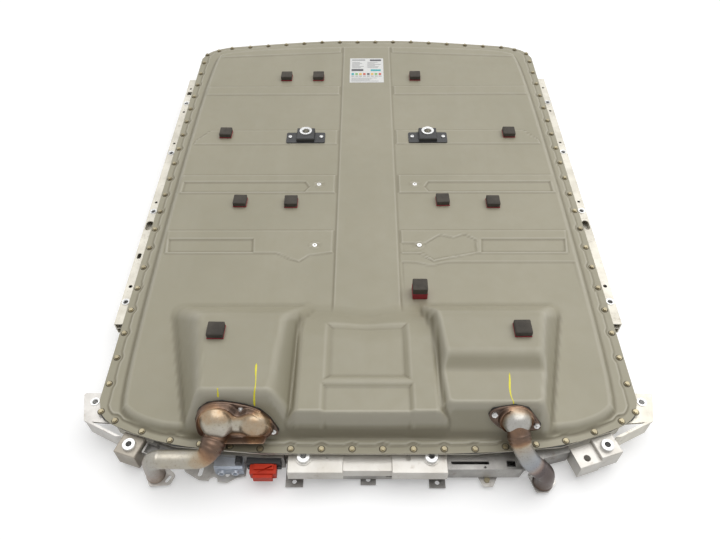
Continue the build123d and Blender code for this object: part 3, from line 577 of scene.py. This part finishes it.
def makeStrokes(paint):
    # a brush line: its width swells and thins by a sine along the way, and it lies on the sheet
    parts = []
    rng = np.random.default_rng(3)
    across = np.linspace(-0.5, 0.5, 5)
    for path in strokes["paths"]:
        line = cutCorners(path, 4, closed=False)
        step = np.gradient(line, axis=0)
        side = np.stack([-step[:, 1], step[:, 0]], -1)
        side /= np.linalg.norm(side, axis=1, keepdims=True)
        t = np.linspace(0, 1, len(line))
        lead, trail = np.clip(8 * t, strokes["ends"], 1), np.clip(8 * (1 - t), strokes["ends"], 1)
        width = strokes["width"] * (0.72 + 0.28 * np.sin(9 * t + rng.uniform(0, 6))) * lead * trail
        x = line[:, 0][:, None] + side[:, 0][:, None] * width[:, None] * across
        y = line[:, 1][:, None] + side[:, 1][:, None] * width[:, None] * across
        z = coverHeight(x, y) + strokes["lift"] * (1.2 - 4 * across[None, :] ** 2)
        parts.append((np.stack([x, y, z], -1).reshape(-1, 3), gridFaces(len(line), 5)[:, ::-1]))
    addPiece("paintStrokes", parts, paint)


# outline and domes lie on the housing's rear wall, u along X and v up the slope; a dome is centre and radii.
# tints and blues are pairs of distance along the pipe and share of heat or of blue
vents = {
    "left": {
        "nodes": ("left_vent_hood", "left_vent_pipe"),
        "place": (-325.0, 165.0),
        "outline": [(-110, 4), (-96, 40), (-72, 60), (-36, 66), (22, 54), (58, 38), (82, 10), (102, -32),
                    (94, -46), (-96, -46)],
        "domes": [((-50, 10), (44, 47, 46)), ((42, 1), (39, 37, 36)), ((0, 2), (50, 27, 27))],
        "rim": {"plate": 3.0, "edge": 3.0, "box": 21.0, "lip": 4.5, "reach": 1.36, "fold": 46.0,
                "gold": 0.34, "blue": 0.0},
        "path": [(-380, -920, 146), (-383, -944, 141), (-390, -972, 137), (-408, -990, 120),
                 (-446, -988, 111), (-510, -986, 109), (-545, -986, 105), (-550, -986, 64), (-552, -986, 17)],
        "radius": 23.5,
        "neck": 31.0,
        "collar": 46.0,
        "tints": [(0, 0.9), (62, 0.75), (84, 0.35), (120, 0.12), (200, 0.14), (240, 0.32), (400, 0.7)],
        "blues": [(0, 0.0), (90, 0.0), (130, 0.25), (180, 0.2), (235, 0.6), (400, 0.4)],
    },
    "right": {
        "nodes": ("right_vent_hood", "right_vent_pipe"),
        "place": (371.0, 178.0),
        "outline": [(-70, 8), (-60, 28), (-6, 40), (30, 30), (68, -26), (60, -44), (-26, -46), (-60, -12)],
        "domes": [((0, -2), (38, 37, 42))],
        "rim": {"plate": 3.0, "edge": 3.0, "box": 14.0, "lip": 3.5, "reach": 1.20, "fold": 0.0,
                "gold": 0.0, "blue": 0.45},
        "path": [(371, -918, 182), (375, -944, 160), (383, -964, 140), (398, -984, 118), (420, -996, 96),
                 (446, -1003, 76), (452, -1004, 50), (452, -1004, 17)],
        "radius": 24.5,
        "neck": 28.0,
        "collar": 42.0,
        "tints": [(0, 0.8), (26, 0.85), (46, 0.7), (60, 0.28), (100, 0.10), (124, 0.4), (138, 1.1),
                  (250, 1.3)],
        "blues": [(0, 0.0), (52, 0.1), (80, 0.6), (115, 1.0), (135, 0.3), (250, 0.0)],
    },
}
wall = {"footY": cover["rearEdge"] + 40, "lean": 0.34}
hoodForm = {"outerRings": 60, "innerRings": 50, "turnShare": 0.6, "lastShare": 0.015, "domeBlend": 12,
            "domePower": 1.7, "domeLift": 4, "foldV": 37, "foldWidth": 4.2, "foldHalf": 86, "foldMiddle": 10}
pipeForm = {"sides": 48, "wall": 2.2, "deep": 16, "neckFrom": 30, "neckRun": 50, "collarHalf": 13,
            "collarRise": 0.8, "ribRise": 1.5, "ribPitch": 8, "beadWidth": 2.4, "lipRise": 1.6,
            "lipWidth": 3.0}


def wallPoint(u, v, n, place):
    # a point on the housing's rear wall: u along X, v up the slope, n out of the wall
    x0, z0 = place
    lean = wall["lean"]
    y0 = wall["footY"] + lean * (z0 - cover["rimTop"])
    s = math.hypot(1, lean)
    return np.stack([x0 + u, y0 + lean / s * v - n / s, z0 + v / s + lean / s * n], -1)


def hoodHeight(u, v, edge, domes, rim):
    # height over the wall: rimmed plate, raised box with rolled lip, domes blended together, and a lower fold
    f = hoodForm
    inset = insideDistance(u, v, edge)
    near = np.full(u.shape, farOff)
    bulge = np.zeros_like(u)
    for at, radii in domes:
        du, dv = (u - at[0]) / radii[0], (v - at[1]) / radii[1]
        near = softMin(near, np.hypot(du, dv), 0.25)
        dome = radii[2] * np.clip(1 - (du * du + dv * dv) ** f["domePower"], 0, 1) ** 0.5
        bulge = softMax(bulge, dome, f["domeBlend"])
    plate = rim["plate"] + rim["edge"] * hill((inset - 3.5) / 2.6) - 2.0 * hill(inset / 1.2)
    box = smooth((rim["reach"] - near) / 0.09) * smooth(inset / 6)
    lip = hill((near - rim["reach"] + 0.12) / 0.045) * smooth(inset / 6)
    h = plate + rim["box"] * box + rim["lip"] * lip - 3.0 * hill((near - 1.04) / 0.06)
    h = softMax(h, bulge + f["domeLift"], 5)
    ends = smooth((f["foldHalf"] - np.abs(u + f["foldMiddle"])) / 10)
    fold = rim["fold"] * hill((v + f["foldV"]) / f["foldWidth"]) * smooth(inset / 5) * ends
    return np.maximum(h, fold), near, bulge


def makeHood(v, mat, name):
    # rings shrink from the outline to the middle of the domes; a skirt and two fans close it against the wall
    place, domes, rim, f = v["place"], v["domes"], v["rim"], hoodForm
    edge = cutCorners(v["outline"], 3)
    centre = np.array([np.mean([d[0][0] for d in domes]), np.mean([d[0][1] for d in domes])])
    count = len(edge) * 3
    closed = np.vstack([edge, edge[:1]])
    t = np.linspace(0, len(edge), count, endpoint=False)
    ring = np.stack([np.interp(t, np.arange(len(closed)), closed[:, k]) for k in range(2)], -1)
    shares = np.concatenate([np.linspace(1, f["turnShare"], f["outerRings"])[:-1],
                             np.linspace(f["turnShare"], f["lastShare"], f["innerRings"])])
    grid = centre + (ring - centre)[None, :, :] * shares[:, None, None]
    gu, gv = grid[..., 0], grid[..., 1]
    h, near, bulge = hoodHeight(gu, gv, edge, domes, rim)
    top = wallPoint(gu, gv, h, place).reshape(-1, 3)
    skirt = wallPoint(ring[:, 0], ring[:, 1], np.zeros(count), place)
    summit = wallPoint(centre[0], centre[1], float(h[-1].mean()), place)[None, :]
    behind = wallPoint(centre[0], centre[1], 0.0, place)[None, :]
    i = np.arange(count)
    j = (i + 1) % count
    foot = len(top)
    last = foot - count
    faces = gridFaces(len(shares), count, 0, wrap=True)[:, ::-1].tolist()
    faces += np.stack([i, j, foot + j, foot + i], -1).tolist()
    faces += fan(last + j, last + i, foot + count) + fan(foot + i, foot + j, foot + count + 1)
    piece = addPiece(name, [(np.vstack([top, skirt, summit, behind]), faces)], mat)
    # silver on the domes, gold on their upper and right parts, straw round their foot, bronze on the rest
    saddle = 0.42 * smooth((0.66 - bulge / bulge.max()) / 0.3)
    warm = rim["gold"] * np.maximum(smooth((gu + 6) / 30), smooth((gv - 12) / 26))
    heat = np.maximum(np.maximum(smooth((near - 0.74) / 0.5), saddle), warm).ravel()
    addShare(piece.data, "tempering", np.concatenate([heat, np.ones(count), [0.0, 1.0]]))
    addShare(piece.data, "blueing", np.concatenate([rim["blue"] * (1 - heat), np.zeros(count + 2)]))
    return piece


def sweep(path, radii, sides):
    # rings square to the path, carried along it without twist
    step = np.gradient(path, axis=0)
    step /= np.linalg.norm(step, axis=1, keepdims=True)
    up = np.array([0.0, 0.0, 1.0]) if abs(step[0][2]) < 0.9 else np.array([0.0, 1.0, 0.0])
    a = np.linspace(0, 2 * math.pi, sides, endpoint=False)
    rings = []
    for p, d, r in zip(path, step, radii):
        up = up - d * np.dot(up, d)
        up /= np.linalg.norm(up)
        side = np.cross(d, up)
        rings.append(p + r * (np.cos(a)[:, None] * side + np.sin(a)[:, None] * up))
    return np.stack(rings)


def evenPath(points, spacing=2.0):
    # corners are rounded, then the line is cut at even steps, so that ribs and beads keep their places
    pts = cutCorners(points, 4, closed=False)
    run = np.concatenate([[0], np.cumsum(np.linalg.norm(np.diff(pts, axis=0), axis=1))])
    at = np.arange(0, run[-1], spacing)
    return np.stack([np.interp(at, run, pts[:, k]) for k in range(3)], -1), at


def makePipe(v, mat, name):
    # neck narrows to the tube under a ribbed collar, weld beads sit on it, and the open end is turned in
    f = pipeForm
    sides, deep = f["sides"], f["deep"]
    line, at = evenPath(v["path"])
    total, past = at[-1], at - v["collar"]
    r = v["radius"] + (v["neck"] - v["radius"]) * (1 - smooth((at - f["neckFrom"]) / f["neckRun"]))
    collar = np.exp(-(past / f["collarHalf"]) ** 8)
    ribs = f["ribRise"] * collar * (0.5 + 0.5 * np.cos(past / f["ribPitch"] * 2 * math.pi))
    bead = 1.3 * hill((past - 20) / f["beadWidth"]) + 1.0 * hill((at - total * 0.66) / f["beadWidth"])
    lip = f["lipRise"] * hill((at - total + 3) / f["lipWidth"])
    radii = r + f["collarRise"] * collar + ribs + bead + lip
    rings = sweep(line, radii, sides)
    axis = line[:, None, :]
    inner = axis + (rings - axis) * (1 - f["wall"] / radii)[:, None, None]
    verts = np.concatenate([rings, inner[::-1][:deep]]).reshape(-1, 3)
    count = len(verts)
    i = np.arange(sides)
    j = (i + 1) % sides
    last = count - sides
    faces = gridFaces(count // sides, sides, 0, wrap=True)[:, ::-1].tolist()
    faces += fan(i, j, count) + fan(last + j, last + i, count + 1)
    piece = addPiece(name, [(np.vstack([verts, line[:1], line[-deep:][:1]]), faces)], mat)
    inside = np.ones(deep * sides + 2)
    tints, blues = (np.interp(at, *zip(*v[k])) for k in ("tints", "blues"))
    addShare(piece.data, "tempering", np.concatenate([np.repeat(tints + 0.15 * collar, sides), inside]))
    addShare(piece.data, "blueing", np.concatenate([np.repeat(blues, sides), 0 * inside]))
    return piece


def makeVents(mat):
    # a hood and its pipe on each side
    for side, v in vents.items():
        hood = makeHood(v, mat, side + "Hood")
        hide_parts(v["nodes"][0])
        pipe = makePipe(v, mat, side + "Pipe")
        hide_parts(v["nodes"][1])
        print("vent", side, len(hood.data.polygons) + len(pipe.data.polygons), "faces")


# the profile gives radius and height over the flange
boltRing = {"sides": 20, "profile": [(6.5, 0.0), (7.6, 0.7), (8.6, 0.9), (9.6, 0.6), (10.2, -0.3)]}


def makeBoltRings(mat):
    # the profile turned round each bolt, like the seal that shows under its head
    sides, profile = boltRing["sides"], boltRing["profile"]
    a = np.linspace(0, 2 * math.pi, sides, endpoint=False)
    quads = gridFaces(len(profile), sides, 0, wrap=True)[:, ::-1]
    parts = []
    for x, y in bolts:
        rings = [np.stack([x + r * np.cos(a), y + r * np.sin(a), np.full(sides, cover["rimTop"] + h)], -1)
                 for r, h in profile]
        parts.append((np.vstack(rings), quads))
    addPiece("boltSealRings", parts, mat)


def newMaterial(name):
    # a material with the plain shader, and its tree
    mat = bpy.data.materials.new(name)
    mat.use_nodes = True
    tree = mat.node_tree
    return mat, tree, tree.nodes["Principled BSDF"]


def objectCoords(tree):
    # the pattern's place: a point's own place on the object
    return tree.nodes.new("ShaderNodeTexCoord").outputs["Object"]


def readShare(tree, name):
    # the number that a piece's points carry under this name
    node = tree.nodes.new("ShaderNodeAttribute")
    node.attribute_name = name
    return node.outputs["Fac"]


def addMath(tree, operation, *values):
    # one sum on sockets or numbers
    node = tree.nodes.new("ShaderNodeMath")
    node.operation = operation
    for socket, value in zip(node.inputs, values):
        if hasattr(value, "links"):
            tree.links.new(value, socket)
        else:
            socket.default_value = value
    return node.outputs["Value"]


def addNoise(tree, coords, scale, detail=4.0, rough=0.55, stretch=(1, 1, 1)):
    # layered noise; a stretch below 1 draws it out along that axis
    mapping = tree.nodes.new("ShaderNodeMapping")
    mapping.inputs["Scale"].default_value = stretch
    noise = tree.nodes.new("ShaderNodeTexNoise")
    noise.inputs["Scale"].default_value = scale
    noise.inputs["Detail"].default_value = detail
    noise.inputs["Roughness"].default_value = rough
    tree.links.new(coords, mapping.inputs["Vector"])
    tree.links.new(mapping.outputs["Vector"], noise.inputs["Vector"])
    return noise.outputs["Fac"]


def addRamp(tree, fac, stops):
    # colours at their shares, blended in between
    ramp = tree.nodes.new("ShaderNodeValToRGB")
    while len(ramp.color_ramp.elements) < len(stops):
        ramp.color_ramp.elements.new(0.5)
    for element, (at, colour) in zip(ramp.color_ramp.elements, stops):
        element.position = at
        element.color = (*colour, 1)
    tree.links.new(fac, ramp.inputs["Fac"])
    return ramp.outputs["Color"]


def addMix(tree, fac, a, b):
    # colour a turns into colour b by the share fac
    mix = tree.nodes.new("ShaderNodeMix")
    mix.data_type = "RGBA"
    tree.links.new(fac, mix.inputs[0])
    for socket, value in ((mix.inputs[6], a), (mix.inputs[7], b)):
        if isinstance(value, tuple):
            socket.default_value = (*value, 1)
        else:
            tree.links.new(value, socket)
    return mix.outputs[2]


def addRange(tree, fac, low, high, fromLow=0.3, fromHigh=0.7):
    # straight line from low to high while fac goes from fromLow to fromHigh
    node = tree.nodes.new("ShaderNodeMapRange")
    for name, value in zip(("From Min", "From Max", "To Min", "To Max"), (fromLow, fromHigh, low, high)):
        node.inputs[name].default_value = value
    tree.links.new(fac, node.inputs["Value"])
    return node.outputs["Result"]


def addBump(tree, shader, height, strength, distance):
    # fine relief under the shader
    bump = tree.nodes.new("ShaderNodeBump")
    bump.inputs["Strength"].default_value = strength
    bump.inputs["Distance"].default_value = distance
    tree.links.new(height, bump.inputs["Height"])
    tree.links.new(bump.outputs["Normal"], shader.inputs["Normal"])


# one entry per finish: two main tints, a stain, metal share, roughness span, grain size and stretch, relief
finishes = {
    "railAluminium": {"light": (0.70, 0.67, 0.59), "dark": (0.50, 0.47, 0.40), "stain": (0.24, 0.20, 0.15),
                      "metal": 0.45, "rough": (0.38, 0.6), "grain": 60, "stretch": (6, 0.4, 6),
                      "relief": 0.12},
    "weatheredBlock": {"light": (0.42, 0.38, 0.32), "dark": (0.25, 0.22, 0.18), "stain": (0.13, 0.10, 0.07),
                       "metal": 0.4, "rough": (0.36, 0.6), "grain": 70, "relief": 0.14},
    "machinedBlock": {"light": (0.62, 0.60, 0.56), "dark": (0.50, 0.47, 0.42), "stain": (0.28, 0.22, 0.16),
                      "metal": 0.4, "rough": (0.28, 0.5), "grain": 90, "stretch": (0.5, 8, 8), "relief": 0.1},
    "platedSteel": {"light": (0.62, 0.60, 0.57), "dark": (0.42, 0.40, 0.37), "stain": (0.24, 0.19, 0.14),
                    "metal": 0.6, "rough": (0.34, 0.55), "grain": 80, "relief": 0.12},
    "dullSteel": {"light": (0.40, 0.39, 0.37), "dark": (0.20, 0.19, 0.18), "stain": (0.16, 0.11, 0.08),
                  "metal": 0.7, "rough": (0.38, 0.62), "grain": 70, "relief": 0.15},
    "castAluminium": {"light": (0.60, 0.64, 0.70), "dark": (0.40, 0.43, 0.48), "stain": (0.20, 0.18, 0.17),
                      "metal": 0.7, "rough": (0.36, 0.6), "grain": 160, "relief": 0.3},
    "turnedSteel": {"light": (0.74, 0.74, 0.73), "dark": (0.54, 0.54, 0.54), "stain": (0.30, 0.28, 0.26),
                    "metal": 0.8, "rough": (0.2, 0.42), "grain": 120, "stretch": (1, 1, 10), "relief": 0.08},
    "zincBolt": {"light": (0.40, 0.35, 0.23), "dark": (0.22, 0.19, 0.13), "stain": (0.12, 0.10, 0.07),
                 "metal": 0.75, "rough": (0.3, 0.5), "grain": 200, "relief": 0.1},
    "blackPlastic": {"light": (0.035, 0.035, 0.036), "dark": (0.014, 0.014, 0.015),
                     "stain": (0.07, 0.065, 0.06), "metal": 0.0, "rough": (0.4, 0.6), "grain": 500,
                     "relief": 0.12},
    "orangePlastic": {"light": (0.58, 0.036, 0.008), "dark": (0.44, 0.024, 0.006),
                      "stain": (0.22, 0.02, 0.008), "metal": 0.0, "rough": (0.36, 0.52), "grain": 400,
                      "relief": 0.08, "gloss": 0.25},
    "openFoam": {"light": (0.085, 0.075, 0.062), "dark": (0.04, 0.035, 0.030), "stain": (0.02, 0.017, 0.015),
                 "metal": 0.0, "rough": (0.85, 1.0), "grain": 900, "relief": 0.8},
    "redTape": {"light": (0.34, 0.018, 0.032), "dark": (0.20, 0.010, 0.018), "stain": (0.06, 0.006, 0.008),
                "metal": 0.0, "rough": (0.5, 0.7), "grain": 300, "relief": 0.1},
    "sealRubber": {"light": (0.05, 0.05, 0.048), "dark": (0.025, 0.025, 0.025), "stain": (0.09, 0.08, 0.07),
                   "metal": 0.0, "rough": (0.6, 0.8), "grain": 300, "relief": 0.1},
    "grimedSteel": {"light": (0.15, 0.13, 0.09), "dark": (0.08, 0.07, 0.05), "stain": (0.05, 0.04, 0.03),
                    "metal": 0.3, "rough": (0.5, 0.7), "grain": 200, "relief": 0.1},
    "cellCase": {"light": (0.16, 0.18, 0.20), "dark": (0.10, 0.11, 0.13), "stain": (0.05, 0.05, 0.06),
                 "metal": 0.0, "rough": (0.4, 0.6), "grain": 200, "relief": 0.1},
    "copperBar": {"light": (0.75, 0.38, 0.22), "dark": (0.52, 0.24, 0.14), "stain": (0.25, 0.12, 0.08),
                  "metal": 1.0, "rough": (0.25, 0.45), "grain": 120, "stretch": (6, 0.5, 6), "relief": 0.08},
}


def makeFinish(name):
    # two tints mixed by broad noise, stained by a second noise, with fine grain in roughness and relief
    f = finishes[name]
    mat, tree, shader = newMaterial(name)
    coords = objectCoords(tree)
    broad = addNoise(tree, coords, 14, 5, 0.6)
    fine = addNoise(tree, coords, f["grain"] * 4, 3, 0.5, f.get("stretch", (1, 1, 1)))
    blotch = addNoise(tree, coords, 38, 6, 0.7)
    tint = addRamp(tree, broad, [(0.35, f["dark"]), (0.62, f["light"])])
    tint = addMix(tree, addRange(tree, fine, 0.0, 0.5), tint, f["light"])
    tint = addMix(tree, addRange(tree, blotch, 0.0, 0.55, 0.58, 0.74), tint, f["stain"])
    tree.links.new(tint, shader.inputs["Base Color"])
    tree.links.new(addRange(tree, fine, *f["rough"]), shader.inputs["Roughness"])
    shader.inputs["Metallic"].default_value = f["metal"]
    shader.inputs["Specular IOR Level"].default_value = f.get("gloss", 0.5)
    addBump(tree, shader, fine, f["relief"], 0.0006)
    return mat


inkColours = {
    "grey": (0.38, 0.38, 0.38), "dark": (0.10, 0.10, 0.11), "teal": (0.05, 0.42, 0.45),
    "green": (0.25, 0.50, 0.18), "amber": (0.80, 0.50, 0.12), "red": (0.62, 0.12, 0.08),
}


def makeInk(name, colour, rough=0.5):
    # printed or brushed colour: a slight mottle in tint and gloss
    mat, tree, shader = newMaterial(name)
    mottle = addNoise(tree, objectCoords(tree), 180, 4, 0.6)
    darker = tuple(0.86 * c for c in colour)
    tree.links.new(addRamp(tree, mottle, [(0.35, darker), (0.65, colour)]), shader.inputs["Base Color"])
    tree.links.new(addRange(tree, mottle, rough - 0.08, rough + 0.08), shader.inputs["Roughness"])
    return mat


coatTints = {
    "cloud": [(0.34, (0.310, 0.288, 0.208)), (0.5, (0.330, 0.306, 0.224)), (0.66, (0.350, 0.324, 0.240))],
    "mottle": (0.335, 0.305, 0.22),
    "dust": (0.39, 0.365, 0.285),
    # painted shade for the hollows, then a painted highlight for the ridges
    "shadeTint": (0.15, 0.13, 0.085),
    "highlightTint": (0.60, 0.57, 0.48),
}


def makeCoverPaint():
    # olive grey coat: broad cloudiness, faint orange peel, dust on the flats, painted shade in hollows,
    # painted highlight on ridges
    mat, tree, shader = newMaterial("coverPaint")
    coords = objectCoords(tree)
    cloud = addNoise(tree, coords, 2.6, 6, 0.62)
    mottle = addNoise(tree, coords, 24, 5, 0.6)
    peel = addNoise(tree, coords, 420, 3, 0.5)
    streak = addNoise(tree, coords, 9, 5, 0.6, (1, 0.18, 1))
    creaseShade, ridgeHighlight = readShare(tree, "creaseShade"), readShare(tree, "ridgeHighlight")
    tint = addRamp(tree, cloud, coatTints["cloud"])
    tint = addMix(tree, addRange(tree, mottle, 0.0, 0.35), tint, coatTints["mottle"])
    tint = addMix(tree, addRange(tree, streak, 0.0, 0.30, 0.5, 0.8), tint, coatTints["dust"])
    # painted shade: hollows of the relief darkened towards the shade tint
    tint = addMix(tree, addRange(tree, creaseShade, 0.0, 0.55, 0.05, 0.8), tint, coatTints["shadeTint"])
    # painted highlight: ridges of the relief lightened towards the highlight tint
    tint = addMix(tree, addRange(tree, ridgeHighlight, 0.0, 0.38, 0.08, 0.9), tint, coatTints["highlightTint"])
    tree.links.new(tint, shader.inputs["Base Color"])
    tree.links.new(addRange(tree, mottle, 0.42, 0.55), shader.inputs["Roughness"])
    shader.inputs["Specular IOR Level"].default_value = 0.5
    addBump(tree, shader, peel, 0.10, 0.0008)
    return mat


heatTints = {
    "band": [(0.0, (0.47, 0.44, 0.38)), (0.22, (0.41, 0.37, 0.29)), (0.42, (0.37, 0.26, 0.16)),
             (0.6, (0.28, 0.165, 0.095)), (0.8, (0.17, 0.105, 0.07)), (1.0, (0.10, 0.07, 0.055))],
    "blue": (0.22, 0.27, 0.35),
    "speck": (0.12, 0.075, 0.05),
    "metal": 0.75,
}


def makeHeatTint():
    # silver, straw, bronze and dark brown after the heat share of each point, with blue where it was hottest
    mat, tree, shader = newMaterial("heatTintSteel")
    coords = objectCoords(tree)
    wobble = addNoise(tree, coords, 34, 6, 0.65)
    speck = addNoise(tree, coords, 170, 4, 0.7)
    heat = addMath(tree, "MULTIPLY_ADD", wobble, 0.5, readShare(tree, "tempering"))
    band = addRamp(tree, addRange(tree, heat, 0, 1, 0.2, 1.3), heatTints["band"])
    blue = addRange(tree, readShare(tree, "blueing"), 0.0, 0.65, 0.1, 1.0)
    band = addMix(tree, blue, band, heatTints["blue"])
    band = addMix(tree, addRange(tree, speck, 0.0, 0.4, 0.54, 0.74), band, heatTints["speck"])
    tree.links.new(band, shader.inputs["Base Color"])
    shader.inputs["Metallic"].default_value = heatTints["metal"]
    tree.links.new(addRange(tree, speck, 0.26, 0.46), shader.inputs["Roughness"])
    addBump(tree, shader, speck, 0.10, 0.0006)
    return mat


nodeFinish = {
    "weatheredBlock": ["left_mount_block"],
    "railAluminium": ["left_side_rail", "right_side_rail", "right_corner_bracket", "tray_frame",
                      "floor_plate", "cooling_plates", "coolant_pipes"],
    "machinedBlock": ["centre_block", "right_mount_block"],
    "platedSteel": ["left_corner_bracket", "port_plate", "pipe_brackets", "beam_tab"],
    "dullSteel": ["left_rear_sill", "left_block_bracket", "right_rear_beam", "centre_bracket", "upper_shelf"],
    "castAluminium": ["port_casting"],
    "turnedSteel": ["block_rings", "corner_bushes", "rail_bushes", "lift_sleeves", "deck_screws", "vent_nuts",
                    "bracket_screws"],
    "zincBolt": ["cover_bolts", "beam_tab_bolt"],
    "blackPlastic": ["left_lift_bracket", "right_lift_bracket", "signal_connector", "connector_base",
                     "control_unit", "junction_box"],
    "orangePlastic": ["power_connector"],
    "openFoam": ["foam_pads"],
    "redTape": ["pad_tapes"],
    "sealRubber": ["cover_gasket", "vent_gaskets"],
    "copperBar": ["busbars"],
}
nodeFinishByWord = {"module": "cellCase", "cross_member": "railAluminium"}


def setMaterial(node, mat):
    # this material alone, in place of any other
    obj = bpy.data.objects[node]
    obj.data.materials.clear()
    obj.data.materials.append(mat)


def dressNodes():
    # every solid gets its finish, by its name or by a word in it
    made = {name: makeFinish(name) for name in finishes}
    for finish, names in nodeFinish.items():
        for node in names:
            setMaterial(node, made[finish])
    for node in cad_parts:
        for word, finish in nodeFinishByWord.items():
            if word in node:
                setMaterial(node, made[finish])
    print("finishes", len(made))
    return made


view = {"at": (-3.5, -1720.0, 1662.8), "yaw": 0.775, "pitch": 48.68, "roll": -0.636, "lens": 33.0,
        "sensor": 36}


def makeCamera():
    # the view direction turned by yaw and lowered by pitch, and the frame rolled about it
    yaw, pitch, roll = (math.radians(view[k]) for k in ("yaw", "pitch", "roll"))
    ahead = Vector((-math.sin(yaw), math.cos(yaw), 0))
    side = Vector((math.cos(yaw), math.sin(yaw), 0))
    look = ahead * math.cos(pitch) - Vector((0, 0, 1)) * math.sin(pitch)
    up = side.cross(look)
    right = side * math.cos(roll) + up * math.sin(roll)
    top = -side * math.sin(roll) + up * math.cos(roll)
    data = bpy.data.cameras.new("camera")
    data.lens = view["lens"]
    data.sensor_width = view["sensor"]
    data.clip_end = 50
    cam = bpy.data.objects.new("camera", data)
    place = Matrix((right, top, -look)).transposed().to_4x4()
    place.translation = Vector(view["at"]) * mm
    cam.matrix_world = place
    bpy.context.scene.collection.objects.link(cam)
    bpy.context.scene.camera = cam


# lengths in metres; glow is the floor's share of white near the middle and far out, and glowReach says where;
# skyLight is what the sky gives to everything, beside the full white that it shows
studio = {
    "floorHalf": 12.0,
    "floorZ": -0.0005,
    "floorTint": 0.80,
    "glow": (0.32, 0.5),
    "glowReach": (1.8, 5.0),
    "skyLight": 0.25,
    "sun": {"from": (0.12, 0.22, 1.0), "power": 2.05, "angle": 70},
    "side": {"at": (2.7, 0.3, 2.3), "target": (0, 0, 0.1), "size": 1.8, "power": 15},
}


def seenDirectly(tree):
    # 1 where the surface is seen, straight, in a reflection or through glass, and 0 where it lights something
    path = tree.nodes.new("ShaderNodeLightPath")
    seen = addMath(tree, "ADD", path.outputs["Is Camera Ray"], path.outputs["Is Glossy Ray"])
    return addMath(tree, "ADD", seen, path.outputs["Is Transmission Ray"])


def makeFloor():
    # a plain square with a share of white that grows outwards, where the lamps reach less
    corners = np.array([[-1, -1, 0], [1, -1, 0], [1, 1, 0], [-1, 1, 0]]) * studio["floorHalf"]
    corners[:, 2] = studio["floorZ"]
    floor = makeMesh("floor", corners, [[0, 1, 2, 3]])
    mat, tree, shader = newMaterial("floorWhite")
    shader.inputs["Base Color"].default_value = (*[studio["floorTint"]] * 3, 1)
    shader.inputs["Roughness"].default_value = 0.9
    shader.inputs["Specular IOR Level"].default_value = 0.1
    away = tree.nodes.new("ShaderNodeVectorMath")
    away.operation = "LENGTH"
    tree.links.new(objectCoords(tree), away.inputs[0])
    share = addRange(tree, away.outputs["Value"], *studio["glow"], *studio["glowReach"])
    shader.inputs["Emission Color"].default_value = (1, 1, 1, 1)
    tree.links.new(addMath(tree, "MULTIPLY", seenDirectly(tree), share), shader.inputs["Emission Strength"])
    floor.data.materials.append(mat)


def makeSky():
    # white to what looks at it, and a soft light on everything
    world = bpy.data.worlds.new("soft")
    bpy.context.scene.world = world
    world.use_nodes = True
    tree = world.node_tree
    strength = addRange(tree, seenDirectly(tree), studio["skyLight"], 1.0, 0.0, 1.0)
    tree.nodes["Background"].inputs["Color"].default_value = (1, 1, 1, 1)
    tree.links.new(strength, tree.nodes["Background"].inputs["Strength"])


def addLamp(name, kind, fromWhere, power):
    # a lamp whose light comes from the direction given
    data = bpy.data.lights.new(name, kind)
    data.energy = power
    lamp = bpy.data.objects.new(name, data)
    lamp.rotation_euler = Vector(fromWhere).to_track_quat("Z", "Y").to_euler()
    bpy.context.scene.collection.objects.link(lamp)
    return lamp


def makeLights():
    # a wide soft sun from above and a soft panel at the right
    sun, side = studio["sun"], studio["side"]
    lamp = addLamp("overhead", "SUN", sun["from"], sun["power"])
    lamp.data.angle = math.radians(sun["angle"])
    lamp = addLamp("rightSide", "AREA", Vector(side["at"]) - Vector(side["target"]), side["power"])
    lamp.data.size = side["size"]
    lamp.location = side["at"]


bpy.context.scene.view_settings.view_transform = "Standard"
makeCamera()
makeFloor()
makeSky()
makeLights()
print("camera, floor and light")
finishesMade = dressNodes()
buildCover().data.materials.append(makeCoverPaint())
makeVents(makeHeatTint())
makePads(finishesMade["openFoam"], finishesMade["redTape"])
paper = makeInk("labelWhite", (0.80, 0.80, 0.78))
makeLabel(paper, {k: makeInk("ink_" + k, c) for k, c in inkColours.items()})
makeStrokes(makeInk("yellowPaint", (0.86, 0.78, 0.03), 0.35))
makeBoltRings(finishesMade["grimedSteel"])
print("strokes and bolt rings")
